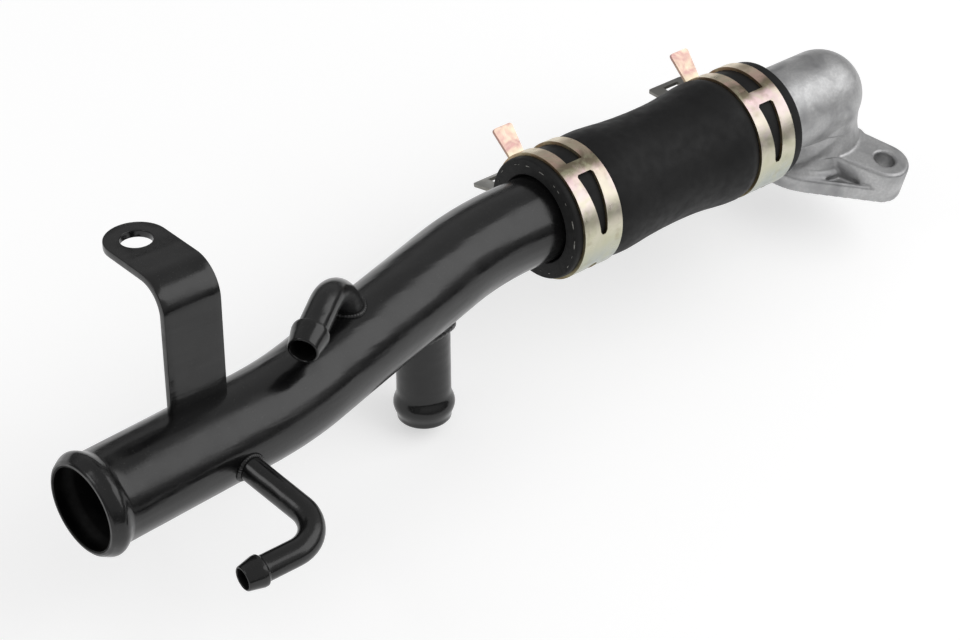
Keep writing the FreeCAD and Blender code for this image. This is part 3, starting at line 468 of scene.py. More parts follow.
class Route:
    """Centre line made of straights and bends that turn toward local x."""

    def __init__(self, start: Matrix) -> None:
        """Begin a route.

        Args:
            start: frame whose z runs along the route and whose x is the way that bends turn.
        """
        self.start = start
        self.parts: list[tuple[float, float]] = []

    def straight(self, length: float) -> "Route":
        """Add a straight piece."""
        self.parts.append((length, 0.0))
        return self

    def bend(self, degrees: float, radius: float) -> "Route":
        """Add a bend.

        Args:
            degrees: how far it turns; a negative angle turns away from local x.
            radius: radius of the centre line.

        Returns:
            The route.
        """
        angle = math.radians(degrees)
        self.parts.append((abs(angle) * radius, angle))
        return self

    @property
    def length(self) -> float:
        """Length of the whole route."""
        return sum(length for length, _ in self.parts)

    def frame(self, along: float) -> Matrix:
        """Frame at a distance along the route.

        Args:
            along: distance from the start.

        Returns:
            A matrix whose z is the direction of the route.
        """
        place = self.start.copy()
        left = along
        for number, (length, angle) in enumerate(self.parts):
            last = number == len(self.parts) - 1
            step = left if last else min(left, length)
            if angle:
                radius = length / angle
                centre = Matrix.Translation((radius, 0, 0))
                place = place @ centre @ Matrix.Rotation(step / radius, 4, "Y") @ centre.inverted()
            else:
                place = place @ Matrix.Translation((0, 0, step))
            left -= step
            if left <= 0:
                break
        return place


def soften(profile: Profile, radius: float, steps: int = 4) -> Profile:
    """Profile with its corners rounded.

    Args:
        profile: points of distance and radius.
        radius: size of the rounding.
        steps: points of each round.

    Returns:
        The rounded profile.
    """
    flat = [Vector(point) for point in profile]
    made = [flat[0]]
    for before, corner, after in zip(flat, flat[1:], flat[2:]):
        start = corner + (before - corner) * min(0.5, radius / max((before - corner).length, MERGE))
        end = corner + (after - corner) * min(0.5, radius / max((after - corner).length, MERGE))
        for number in range(steps + 1):
            share = number / steps
            made.append(start.lerp(corner, share).lerp(corner.lerp(end, share), share))
    made.append(flat[-1])
    return [(point.x, point.y) for point in made]


def denser(profile: Profile, step: float) -> Profile:
    """Profile with points added so that none are further apart than a step.

    Args:
        profile: points of distance and radius.
        step: greatest distance between points.

    Returns:
        The denser profile.
    """
    made = [profile[0]]
    for (s0, r0), (s1, r1) in zip(profile, profile[1:]):
        count = max(1, math.ceil(math.hypot(s1 - s0, r1 - r0) / step))
        made += [(s0 + (s1 - s0) * k / count, r0 + (r1 - r0) * k / count) for k in range(1, count + 1)]
    return made


@dataclass(frozen=True)
class Bead:
    """Smooth swelling of a profile, with half its width."""

    at: float
    half: float
    rise: float
    count: int = 13
    fullness: float = 0.8

    def points(self, along: float, foot: float) -> Profile:
        """Points of the bead in order.

        Args:
            along: distance from which its place is measured.
            foot: radius beside it.

        Returns:
            The points.
        """
        made = []
        for number in range(self.count):
            part = 2 * number / (self.count - 1) - 1
            lift = (0.5 + 0.5 * math.cos(math.pi * part)) ** self.fullness
            made.append((along + self.at + self.half * part, foot + self.rise * lift))
        return made


def clamped(value: float) -> float:
    """Value held between nought and one."""
    return min(1.0, max(0.0, value))


def ends_of(edges: Edges) -> Vertices:
    """Vertices of some edges, each once."""
    return list({vertex for edge in edges for vertex in edge.verts})


class Shell:
    """Mesh that bmesh operators shape and that becomes a piece of the scene at the end."""

    def __init__(self) -> None:
        """Start empty."""
        self.mesh = bmesh.new()

    def ring(self, radius: float, segments: int, place: Matrix) -> Edges:
        """Add a circle of edges.

        Args:
            radius: radius of the circle.
            segments: number of edges.
            place: frame of the circle.

        Returns:
            Its edges.
        """
        made = bmesh.ops.create_circle(
            self.mesh, cap_ends=False, radius=radius, segments=segments, matrix=place)
        return list({edge for vertex in made["verts"] for edge in vertex.link_edges})

    def pull(self, edges: Edges, change: Matrix) -> Edges:
        """Extrude a loop of edges and move the new loop.

        Args:
            edges: the loop.
            change: transform of the new loop.

        Returns:
            The new loop.
        """
        made = bmesh.ops.extrude_edge_only(self.mesh, edges=edges)["geom"]
        vertices = [item for item in made if isinstance(item, bmesh.types.BMVert)]
        fresh = set(vertices)
        bmesh.ops.transform(self.mesh, matrix=change, verts=vertices)
        fresh_edges = [item for item in made if isinstance(item, bmesh.types.BMEdge)]
        return [edge for edge in fresh_edges if fresh.issuperset(edge.verts)]

    def sweep(self, route: Route, outside: Profile, inside: Profile, segments: int) -> tuple[Edges, Edges]:
        """Tube along a route with a radius that follows two profiles, closed from its end to its start.

        Args:
            route: centre line.
            outside: points of distance along the route and radius, from the start to the end.
            inside: the same for the bore, from the end to the start, which takes the second material.
            segments: edges round the tube.

        Returns:
            The first and the last loop of edges, before they were joined.
        """
        (along, radius), *others = outside + inside
        first = self.ring(radius, segments, route.frame(along))
        loop = first
        for new_along, new_radius in others:
            grow = Matrix.Diagonal((new_radius / radius, new_radius / radius, 1, 1))
            change = route.frame(new_along) @ grow @ route.frame(along).inverted()
            loop = self.pull(loop, change)
            along, radius = new_along, new_radius
        for number, face in enumerate(self.mesh.faces):
            face.material_index = int(number >= len(outside) * segments)
        for face in bmesh.ops.bridge_loops(self.mesh, edges=first + loop)["faces"]:
            face.material_index = 1
        return first, loop

    def copy_node(self, node: bpy.types.Object) -> None:
        """Take in a CAD node's mesh and merge its loose triangles."""
        self.mesh.from_mesh(node.data)
        bmesh.ops.remove_doubles(self.mesh, verts=self.mesh.verts, dist=MERGE)

    def refine_arc(self, height: float, step: float, radii: tuple[float, float], reach: float) -> None:
        """Cut a bent sheet into short facets and set them on its true radii.

        Args:
            height: height of the axis along x.
            step: degrees between cuts.
            radii: inner and outer radius of the sheet.
            reach: how far from a radius a point still belongs to it.
        """
        axis = Vector((0, 0, height))
        for number in range(round(180 / step)):
            angle = math.radians(number * step)
            everything = list(self.mesh.verts) + list(self.mesh.edges) + list(self.mesh.faces)
            normal = (0, math.cos(angle), math.sin(angle))
            bmesh.ops.bisect_plane(self.mesh, geom=everything, dist=MERGE, plane_co=axis, plane_no=normal)
        for vertex in self.mesh.verts:
            arm = Vector((0, vertex.co.y, vertex.co.z - height))
            radius = min(radii, key=lambda value: abs(value - arm.length))
            if abs(radius - arm.length) < reach:
                vertex.co += arm * (radius / arm.length - 1)

    def merge_flats(self, degrees: float) -> None:
        """Make one face of neighbours that lie in one plane."""
        bmesh.ops.dissolve_limit(
            self.mesh, angle_limit=math.radians(degrees), use_dissolve_boundaries=False,
            verts=self.mesh.verts, edges=self.mesh.edges, delimit=set())

    def point_outward(self) -> None:
        """Turn all faces outward."""
        bmesh.ops.recalc_face_normals(self.mesh, faces=self.mesh.faces)

    def bevel_edges(self, width: float, segments: int, least: float = 28.0) -> None:
        """Round the edges that are sharper than an angle.

        Args:
            width: width of the rounding.
            segments: faces across it.
            least: smallest angle in degrees.
        """
        limit = math.radians(least)
        closed = [edge for edge in self.mesh.edges if len(edge.link_faces) == 2]
        sharp = [edge for edge in closed if edge.calc_face_angle() > limit]
        bmesh.ops.bevel(
            self.mesh, geom=sharp, offset=width, offset_type="OFFSET", segments=segments, profile=0.5,
            affect="EDGES", clamp_overlap=True, material=-1)

    def piece(self, name: str, finishes: list[Material], replaces: tuple[str, ...] = (),
              recalculate: bool = True, smooth: float = 40.0) -> None:
        """Make the mesh a piece of the scene.

        Args:
            name: name of the piece.
            finishes: its materials.
            replaces: CAD nodes that it stands for.
            recalculate: whether the normals are made consistent.
            smooth: angle in degrees above which an edge stays sharp.
        """
        bmesh.ops.remove_doubles(self.mesh, verts=self.mesh.verts, dist=MERGE / 10)
        if recalculate:
            self.point_outward()
        for face in self.mesh.faces:
            face.smooth = True
        for edge in self.mesh.edges:
            edge.smooth = len(edge.link_faces) != 2 or edge.calc_face_angle() < math.radians(smooth)
        data = bpy.data.meshes.new(name)
        self.mesh.to_mesh(data)
        self.mesh.free()
        for finish in finishes:
            data.materials.append(finish)
        made = bpy.data.objects.new(name, data)
        bpy.context.scene.collection.objects.link(made)
        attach(made, "root")
        if replaces:
            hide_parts(*replaces)
        log.info("%s: %d faces", name, len(data.polygons))


# Pipes


class Run(Enum):
    """Straight runs of the main pipe that carry branches."""

    MIDDLE = "middle"
    LAST = "last"


@dataclass(frozen=True)
class MainPipe:
    """Bent steel tube with a rolled bead behind its open end."""

    finish: Material
    inner_finish: Material
    axis_height: float = 26.0 * MM
    hose_end: float = -95.0 * MM
    radius: float = 13.5 * MM
    wall: float = 1.3 * MM
    first_run: float = 36.2 * MM
    bend_radius: float = 125.0 * MM
    first_turn: float = 14.25
    middle_run: float = 62.7 * MM
    second_turn: float = -11.05
    last_run: float = 56.9 * MM
    rolled: Bead = Bead(-3.6 * MM, 3.9 * MM, 1.6 * MM, 21)
    rolled_bore: Bead = Bead(-3.6 * MM, 3.4 * MM, 1.28 * MM, 17)
    held: Bead = Bead(3.6 * MM, 2.0 * MM, 1.1 * MM)
    chamfer: float = 0.3 * MM
    outer_lip: tuple[Point, ...] = ((-0.315 * MM, -0.05 * MM), (-0.0675 * MM, -0.27 * MM))
    inner_lip: tuple[Point, ...] = ((0.0, 0.455 * MM), (-0.18 * MM, -0.05 * MM))
    outer_step: float = 2.2 * MM
    inner_step: float = 3.0 * MM
    segments: int = 112

    def route(self) -> Route:
        """Centre line from the end in the hose to the open end.

        Returns:
            The route.
        """
        start = Matrix.Translation((self.hose_end, 0, self.axis_height))
        turn = Matrix(((0, 0, -1), (-1, 0, 0), (0, 1, 0))).to_4x4()
        line = Route(start @ turn)
        line.straight(self.first_run).bend(self.first_turn, self.bend_radius)
        line.straight(self.middle_run).bend(self.second_turn, self.bend_radius)
        return line.straight(self.last_run)

    def start_of(self, run: Run) -> float:
        """Distance along the route to the start of a run.

        Args:
            run: which run.

        Returns:
            The distance.
        """
        middle = self.first_run + math.radians(self.first_turn) * self.bend_radius
        if run is Run.MIDDLE:
            return middle
        return middle + self.middle_run + math.radians(abs(self.second_turn)) * self.bend_radius

    def profiles(self) -> tuple[Profile, Profile]:
        """Outside and bore of the tube, both with the rolled bead.

        Returns:
            The outside from the hose to the lip, and the bore from the lip back.
        """
        end = self.route().length
        bore = self.radius - self.wall
        outside = [(0.0, self.radius - self.chamfer), (self.chamfer, self.radius)]
        outside += self.held.points(0.0, self.radius)
        outside += self.rolled.points(end, self.radius)[:-2]
        outside += [(end + step, self.radius + rise) for step, rise in self.outer_lip]
        inside = [(end + step, bore + rise) for step, rise in self.inner_lip]
        inside += self.rolled_bore.points(end, bore)[-2::-1]
        inside += [(0.0, bore)]
        return denser(outside, self.outer_step), denser(inside, self.inner_step)

    def build(self) -> None:
        """Sweep the tube."""
        shell = Shell()
        shell.sweep(self.route(), *self.profiles(), self.segments)
        shell.piece("painted_main_pipe", [self.finish, self.inner_finish], ("main_pipe",))


@dataclass(frozen=True)
class Branch:
    """Piece that stands on a run of the main pipe, turned round it, leant and aimed."""

    pipe: MainPipe
    finish: Material
    run: Run
    at: float
    around: float
    lean: float
    aim: float

    def foot(self) -> Matrix:
        """Frame of the main pipe's axis under the branch."""
        return self.pipe.route().frame(self.pipe.start_of(self.run) + self.at)

    def frame(self) -> Matrix:
        """Frame of the branch.

        Returns:
            A matrix whose z leaves the pipe and whose x is the way that a bend of the branch turns.
        """
        foot = self.foot().to_3x3()
        run, side, up = foot.col[2], -foot.col[0], foot.col[1]
        angle, tip, roll = (math.radians(value) for value in (self.around, self.lean, self.aim))
        out = side * math.cos(angle) + up * math.sin(angle)
        z_axis = out * math.cos(tip) - run * math.sin(tip)
        flat = (run - z_axis * run.dot(z_axis)).normalized()
        x_axis = flat * math.cos(roll) + z_axis.cross(flat) * math.sin(roll)
        turn = Matrix((x_axis, z_axis.cross(x_axis), z_axis)).transposed().to_4x4()
        return Matrix.Translation(self.foot().translation) @ turn

    def rise_to_skin(self, point: Vector, skin: float) -> float:
        """Distance along the branch from a point to a cylinder round the main pipe.

        Args:
            point: start, in the frame of the part.
            skin: radius of the cylinder.

        Returns:
            The distance.
        """
        foot = self.foot()
        run = foot.to_3x3().col[2]
        way = self.frame().to_3x3().col[2]
        offset = point - foot.translation
        flat = offset - run * offset.dot(run)
        flat_way = way - run * way.dot(run)
        a, b, c = flat_way.dot(flat_way), flat.dot(flat_way), flat.dot(flat) - skin * skin
        return (-b + math.sqrt(max(b * b - a * c, 0.0))) / a

    def fit(self, vertices: Vertices, skin: float) -> None:
        """Slide vertices along the branch onto a cylinder round the main pipe.

        Args:
            vertices: what moves.
            skin: radius of the cylinder.
        """
        way = self.frame().to_3x3().col[2]
        for vertex in vertices:
            vertex.co += way * self.rise_to_skin(vertex.co, skin)


@dataclass(frozen=True)
class Weld:
    """Uneven weld bead round the foot of a branch."""

    name: str
    branch: Branch
    radius: float
    size: float
    seed: float
    stations: int = 120
    sides: int = 14
    seat: float = 0.1
    wave: float = 0.10
    wave_turn: float = 1.9
    roughness: float = 0.22
    grain: float = 260.0
    smooth: float = 80.0

    def point(self, number: float) -> Vector:
        """Point of the bead's centre line.

        Args:
            number: which station; a fraction lies between two.

        Returns:
            The point, in the frame of the part.
        """
        frame = self.branch.frame()
        seat = self.size * self.seat
        angle = 2 * math.pi * number / self.stations
        point = frame @ (Vector((math.cos(angle), math.sin(angle), 0)) * (self.radius + seat))
        return point + frame.to_3x3().col[2] * self.branch.rise_to_skin(point, self.branch.pipe.radius + seat)

    def station(self, number: int) -> Matrix:
        """Frame of the bead at a station.

        Args:
            number: which station.

        Returns:
            A matrix whose z runs along the bead and whose scale is its unevenness.
        """
        before, middle, after = (self.point(number + shift) for shift in (-0.5, 0.0, 0.5))
        foot = self.branch.foot()
        run = foot.to_3x3().col[2]
        tangent = (after - before).normalized()
        out = middle - foot.translation
        out = (out - run * out.dot(run)).normalized()
        x_axis = (out - tangent * out.dot(tangent)).normalized()
        turn = Matrix((x_axis, tangent.cross(x_axis), tangent)).transposed().to_4x4()
        ripple = 1 + self.wave * math.sin(number * self.wave_turn + self.seed)
        ripple += self.roughness * noise.noise(middle * self.grain + Vector((self.seed, 0, 0)))
        return Matrix.Translation(middle) @ turn @ Matrix.Diagonal((ripple, ripple, 1, 1))

    def build(self) -> None:
        """Pull a ring round the foot and close it."""
        shell = Shell()
        first = shell.ring(self.size, self.sides, self.station(0))
        loop = first
        for number in range(1, self.stations):
            loop = shell.pull(loop, self.station(number) @ self.station(number - 1).inverted())
        bmesh.ops.bridge_loops(shell.mesh, edges=first + loop)
        shell.piece(self.name, [self.branch.finish], smooth=self.smooth)


@dataclass(frozen=True)
class Tube(Branch):
    """Welded tube whose marks are millimetres from its open end and from its outside or bore."""

    node: str
    weld_name: str
    weld_size: float
    seed: float
    radius: float
    wall: float
    first_leg: float
    turn: float
    bend: float
    last_leg: float
    outer_marks: tuple[Point, ...]
    bore_marks: tuple[Point, ...]
    softness: float
    step: float
    segments: int

    def profiles(self, start: float, end: float) -> tuple[Profile, Profile]:
        """Outside and bore of the tube.

        Args:
            start: distance along the route at which the tube begins.
            end: distance of its open end.

        Returns:
            The outside up to the open end, and the bore back.
        """
        bore = self.radius - self.wall
        outside = [(end + step * MM, self.radius + rise * MM) for step, rise in self.outer_marks]
        outside = [(start, self.radius), *outside]
        inside = [(end + step * MM, bore + rise * MM) for step, rise in self.bore_marks]
        if self.softness:
            outside = soften(outside, self.softness)
        return denser(outside, self.step), denser([*inside, (start, bore)], self.step)

    def build(self) -> None:
        """Sweep the tube, fit its root to the pipe's wall and add the weld."""
        route = Route(self.frame()).straight(self.first_leg)
        route.bend(self.turn, self.bend).straight(self.last_leg)
        shell = Shell()
        profiles = self.profiles(self.pipe.radius * ROOT_SHARE, route.length)
        for loop in shell.sweep(route, *profiles, self.segments):
            self.fit(ends_of(loop), self.pipe.radius - ROOT_SINK)
        shell.piece(f"painted_{self.node}", [self.finish, self.pipe.inner_finish], (self.node,))
        Weld(self.weld_name, self, self.radius, self.weld_size, self.seed).build()


@dataclass(frozen=True)
class LowerBranch(Tube):
    """Straight stub with a rolled bead, under the middle run."""

    run: Run = Run.MIDDLE
    at: float = 11.7 * MM
    around: float = 254.2
    lean: float = -3.6
    aim: float = 0.0
    node: str = "lower_branch"
    weld_name: str = "lower_branch_weld"
    weld_size: float = 1.35 * MM
    seed: float = 1.0
    radius: float = 8.2 * MM
    wall: float = 1.2 * MM
    first_leg: float = 43.9 * MM
    turn: float = 0.0
    bend: float = 0.0
    last_leg: float = 0.0
    outer_marks: tuple[Point, ...] = (
        (-10.0, 0.0), *Bead(-5.0, 4.0, 1.05, 19).points(0.0, 0.0), (-0.3, -0.05), (0.0, -0.3))
    bore_marks: tuple[Point, ...] = ((0.0, 0.3), (-0.3, 0.0))
    softness: float = 0.0
    step: float = 3.0 * MM
    segments: int = 72


@dataclass(frozen=True)
class SidePipe(Tube):
    """Small bent pipe with a hose barb, on the front of the last run."""

    run: Run = Run.LAST
    at: float = 12.5 * MM
    around: float = 178.2
    lean: float = 5.8
    aim: float = 4.0
    node: str = "side_pipe"
    weld_name: str = "painted_side_pipe_weld"
    weld_size: float = 0.8 * MM
    seed: float = 4.0
    radius: float = 3.75 * MM
    wall: float = 0.85 * MM
    first_leg: float = 32.5 * MM
    turn: float = 101.6
    bend: float = 9.7 * MM
    last_leg: float = 16.4 * MM
    outer_marks: tuple[Point, ...] = (
        (-6.4, 0.0), (-5.7, 0.8), (-4.7, 0.8), (-0.2, -0.2), (0.0, -0.5), (0.0, -0.65))
    bore_marks: tuple[Point, ...] = ((-0.3, 0.0),)
    softness: float = 0.22 * MM
    step: float = 1.4 * MM
    segments: int = 64


@dataclass(frozen=True)
class UpperPipe(SidePipe):
    """Small bent pipe with a hose barb, on top of the middle run and a little thicker."""

    run: Run = Run.MIDDLE
    at: float = 40.8 * MM
    around: float = 72.3
    lean: float = -14.1
    aim: float = 19.7
    node: str = "upper_pipe"
    weld_name: str = "painted_upper_pipe_weld"
    seed: float = 9.0
    radius: float = 4.4 * MM
    wall: float = 0.75 * MM
    first_leg: float = 14.2 * MM
    turn: float = 84.4
    bend: float = 13.5 * MM
    last_leg: float = 18.3 * MM
    outer_marks: tuple[Point, ...] = (
        (-7.6, 0.0), (-7.25, 1.05), (-6.25, 1.05), (-0.2, 0.05), (0.0, -0.25), (0.0, -0.55))


@dataclass(frozen=True)
class Bracket(Branch):
    """Sheet bracket that stands on the pipe and bends over to a round tab with a bolt hole."""

    run: Run = Run.LAST
    at: float = 16.2 * MM
    around: float = 74.0
    lean: float = 0.9
    aim: float = 176.7
    half_width: float = 9.0 * MM
    gauge: float = 2.3 * MM
    face: float = 0.4 * MM
    height: float = 53.0 * MM
    reach: float = 25.5 * MM
    bend_radius: float = 10.0 * MM
    bend_steps: int = 16
    hole: float = 4.5 * MM
    edge: float = 0.3 * MM
    edge_steps: int = 3
    least_edge: float = 50.0
    foot_height: float = 0.5 * MM
    foot_sink: float = 0.6 * MM
    margin: float = 0.01 * MM
    smooth: float = 35.0
    segments: int = 48

    def square_off(self, vertices: Vertices) -> None:
        """Push the half of a round outline that looks at the bend out to straight sides.

        Args:
            vertices: the outline.
        """
        for vertex in vertices:
            x, y = vertex.co.x, vertex.co.y - self.reach
            if y < 0:
                grow = self.half_width / max(abs(x), abs(y))
                vertex.co.x, vertex.co.y = x * grow, self.reach + y * grow

    def sheet(self, shell: Shell) -> None:
        """Outer face of the sheet: the tab round its hole, the bend and the upright.

        Args:
            shell: mesh that takes the sheet.
        """
        top = Matrix.Translation((0, self.reach, self.height))
        grow = self.half_width / self.hole
        change = top @ Matrix.Diagonal((grow, grow, 1, 1)) @ top.inverted()
        outline = shell.pull(shell.ring(self.hole, self.segments, top), change)
        self.square_off(ends_of(outline))
        line = self.reach - self.half_width + self.margin
        chain = [edge for edge in outline if all(vertex.co.y < line for vertex in edge.verts)]
        bend = Vector((0, self.face + self.bend_radius, self.height - self.bend_radius))
        chain = shell.pull(chain, Matrix.Translation((0, bend.y - line + self.margin, 0)))
        bent = bmesh.ops.spin(
            shell.mesh, geom=chain, cent=bend, axis=(1, 0, 0), angle=math.pi / 2, steps=self.bend_steps,
            use_duplicate=False)
        chain = [item for item in bent["geom_last"] if isinstance(item, bmesh.types.BMEdge)]
        shell.pull(chain, Matrix.Translation((0, 0, self.pipe.radius - bend.z)))

    def build(self) -> None:
        """Make the sheet, thicken it, round its edges and fit its foot to the pipe."""
        shell = Shell()
        self.sheet(shell)
        shell.point_outward()
        bmesh.ops.solidify(shell.mesh, geom=list(shell.mesh.faces), thickness=self.gauge)
        shell.point_outward()
        shell.bevel_edges(self.edge, self.edge_steps, self.least_edge)
        top = self.pipe.radius + self.foot_height
        foot = [vertex for vertex in shell.mesh.verts if vertex.co.z < top]
        bmesh.ops.transform(shell.mesh, matrix=self.frame(), verts=shell.mesh.verts)
        self.fit(foot, self.pipe.radius - self.foot_sink)
        shell.piece("painted_bracket", [self.finish], ("mounting_bracket",), smooth=self.smooth)


# Hose, clamps and casting


@dataclass(frozen=True)
class Hose:
    """Moulded rubber sleeve with threads in its cut face.

    A mark is an x and a radius, and a thread an angle in degrees, a radius, a length and a width. They, the
    clearance and the depth of the threads are in millimetres.
    """

    finish: Material
    cut: Material
    thread: Material
    axis_height: float = 26.0 * MM
    near: float = -124.0 * MM
    far: float = -27.5 * MM
    outer_marks: tuple[Point, ...] = (
        (-124.0, 19.0), (-123.6, 19.4), (-122.2, 19.5), (-121.5, 19.3), (-106.5, 19.3), (-104.5, 19.65),
        (-101.5, 19.95), (-98.0, 20.0), (-93.0, 19.6), (-88.5, 19.15), (-83.0, 18.82), (-76.0, 18.62),
        (-70.0, 18.68), (-66.0, 18.85), (-62.0, 19.2), (-58.0, 19.7), (-54.0, 20.15), (-50.0, 20.3),
        (-48.0, 19.8), (-47.0, 19.3), (-32.0, 19.3), (-31.2, 19.5), (-28.6, 19.5), (-27.9, 19.4),
        (-27.5, 19.0))
    bore_marks: tuple[Point, ...] = (
        (-27.5, 13.6), (-47.0, 13.5), (-49.0, 14.75), (-51.8, 14.75), (-54.1, 13.65), (-56.5, 12.9),
        (-92.5, 12.9), (-94.9, 13.65), (-97.2, 14.75), (-100.0, 14.75), (-102.0, 13.5), (-121.6, 13.5),
        (-123.6, 13.9), (-124.0, 14.3))
    clearance: float = 0.03
    outer_softness: float = 1.0 * MM
    outer_step: float = 1.5 * MM
    bore_softness: float = 0.5 * MM
    bore_step: float = 4.0 * MM
    segments: int = 128
    cut_depth: float = 0.7 * MM
    cut_facing: float = 0.9
    threads: tuple[Span, ...] = (
        (-86, 17.6, 1.0, 0.16), (-72, 17.9, 1.7, 0.26), (-46, 17.4, 1.0, 0.18), (-41, 17.3, 0.8, 0.14),
        (-27, 17.1, 1.9, 0.30), (-8, 17.3, 1.0, 0.16), (-5, 17.4, 1.5, 0.22), (14, 17.4, 0.9, 0.14),
        (21, 17.5, 1.1, 0.18), (35, 17.9, 0.8, 0.12), (56, 18.1, 2.8, 0.36), (77, 18.1, 3.2, 0.36),
        (92, 18.0, 0.9, 0.14), (106, 18.2, 1.5, 0.24), (140, 17.5, 1.1, 0.20), (153, 17.1, 0.8, 0.16),
        (176, 17.5, 1.4, 0.24), (195, 17.2, 1.8, 0.24), (222, 17.6, 1.2, 0.20), (247, 17.4, 2.0, 0.26))
    thread_depth: float = 0.16
    thread_out: float = 0.02 * MM

    def profiles(self) -> tuple[Profile, Profile]:
        """Outside and bore of the sleeve.

        Returns:
            The outside from the near face to the far face, and the bore back.
        """
        outside = [(x * MM, radius * MM) for x, radius in self.outer_marks]
        inside = [(x * MM, (radius + self.clearance) * MM) for x, radius in self.bore_marks]
        outside = denser(soften(outside, self.outer_softness), self.outer_step)
        return outside, denser(soften(inside, self.bore_softness), self.bore_step)

    def build(self) -> None:
        """Sweep the sleeve, mark its cut faces and set the threads."""
        start = Matrix.Translation((0, 0, self.axis_height)) @ Matrix.Rotation(math.pi / 2, 4, "Y")
        shell = Shell()
        shell.sweep(Route(start).straight(self.far - self.near), *self.profiles(), self.segments)
        shell.point_outward()
        for face in shell.mesh.faces:
            x = face.calc_center_median().x
            at_end = x < self.near + self.cut_depth or x > self.far - self.cut_depth
            face.material_index = int(at_end and abs(face.normal.x) > self.cut_facing)
        shell.piece("rubber_hose", [self.finish, self.cut], ("connecting_hose",))
        self.set_threads()

    def set_threads(self) -> None:
        """Short ends of the reinforcing threads in the cut face."""
        shell = Shell()
        face = Matrix.Translation((self.near - self.thread_out, 0, self.axis_height))
        for degrees, radius, length, width in self.threads:
            place = face @ Matrix.Rotation(math.radians(degrees), 4, "X")
            place = place @ Matrix.Translation((0, 0, radius * MM))
            place = place @ Matrix.Diagonal((self.thread_depth * MM, length / 2 * MM, width / 2 * MM, 1))
            bmesh.ops.create_icosphere(shell.mesh, subdivisions=2, radius=1.0, matrix=place)
        shell.piece("hose_threads", [self.thread])


@dataclass(frozen=True)
class BandClamp:
    """Spring band clamp with rounded sheet edges."""

    name: str
    node: bpy.types.Object
    centre: float
    finish: Material
    edge_finish: Material
    axis_height: float = 26.0 * MM
    inner: float = 19.3 * MM
    gauge: float = 1.0 * MM
    step: float = 3.0
    snap: float = 0.26 * MM
    flat: float = 0.4
    edge: float = 0.14 * MM
    edge_steps: int = 2
    least_edge: float = 0.01 * MM
    smooth: float = 24.0
    slot_end: float = 25.8 * MM
    slot_near: float = 0.4 * MM
    slot_half: float = 3.5 * MM
    slot_more: float = 3.6 * MM
    band_margin: float = 0.6 * MM
    facing: float = 0.6
    tang_facing: float = 0.8

    def arm(self, point: Vector) -> Vector:
        """Way from the clamp's axis to a point."""
        return Vector((0, point.y, point.z - self.axis_height))

    def sheared(self, face: bmesh.types.BMFace) -> bool:
        """Whether a face is a sheared edge of the sheet.

        Args:
            face: a face of the band or of a tang.

        Returns:
            True if it looks neither out nor in on the band, or along x, out or in on a tang.
        """
        arm = self.arm(face.calc_center_median())
        radial = abs(face.normal.dot(arm.normalized()))
        if arm.length < self.inner + self.gauge + self.band_margin:
            return radial < self.facing
        return abs(face.normal.x) > self.facing or radial > self.tang_facing

    def lengthen_slot(self, mesh: bmesh.types.BMesh) -> None:
        """Move the end of the slot toward the tip of its tang.

        Args:
            mesh: mesh of the clamp.
        """
        for vertex in mesh.verts:
            arm = self.arm(vertex.co)
            in_slot = abs(vertex.co.x - self.centre) < self.slot_half and arm.z < 0
            if in_slot and abs(arm.length - self.slot_end) < self.slot_near:
                vertex.co += arm.normalized() * self.slot_more

    def build(self) -> None:
        """Refine the arc, round the sheared edges and give them their own finish."""
        shell = Shell()
        shell.copy_node(self.node)
        self.lengthen_slot(shell.mesh)
        shell.refine_arc(self.axis_height, self.step, (self.inner, self.inner + self.gauge), self.snap)
        shell.merge_flats(self.flat)
        shell.mesh.normal_update()
        for face in shell.mesh.faces:
            face.material_index = int(self.sheared(face))
        shell.bevel_edges(self.edge, self.edge_steps)
        bmesh.ops.dissolve_degenerate(shell.mesh, dist=self.least_edge, edges=shell.mesh.edges)
        shell.piece(
            self.name, [self.finish, self.edge_finish], (self.node.name,), recalculate=False,
            smooth=self.smooth)


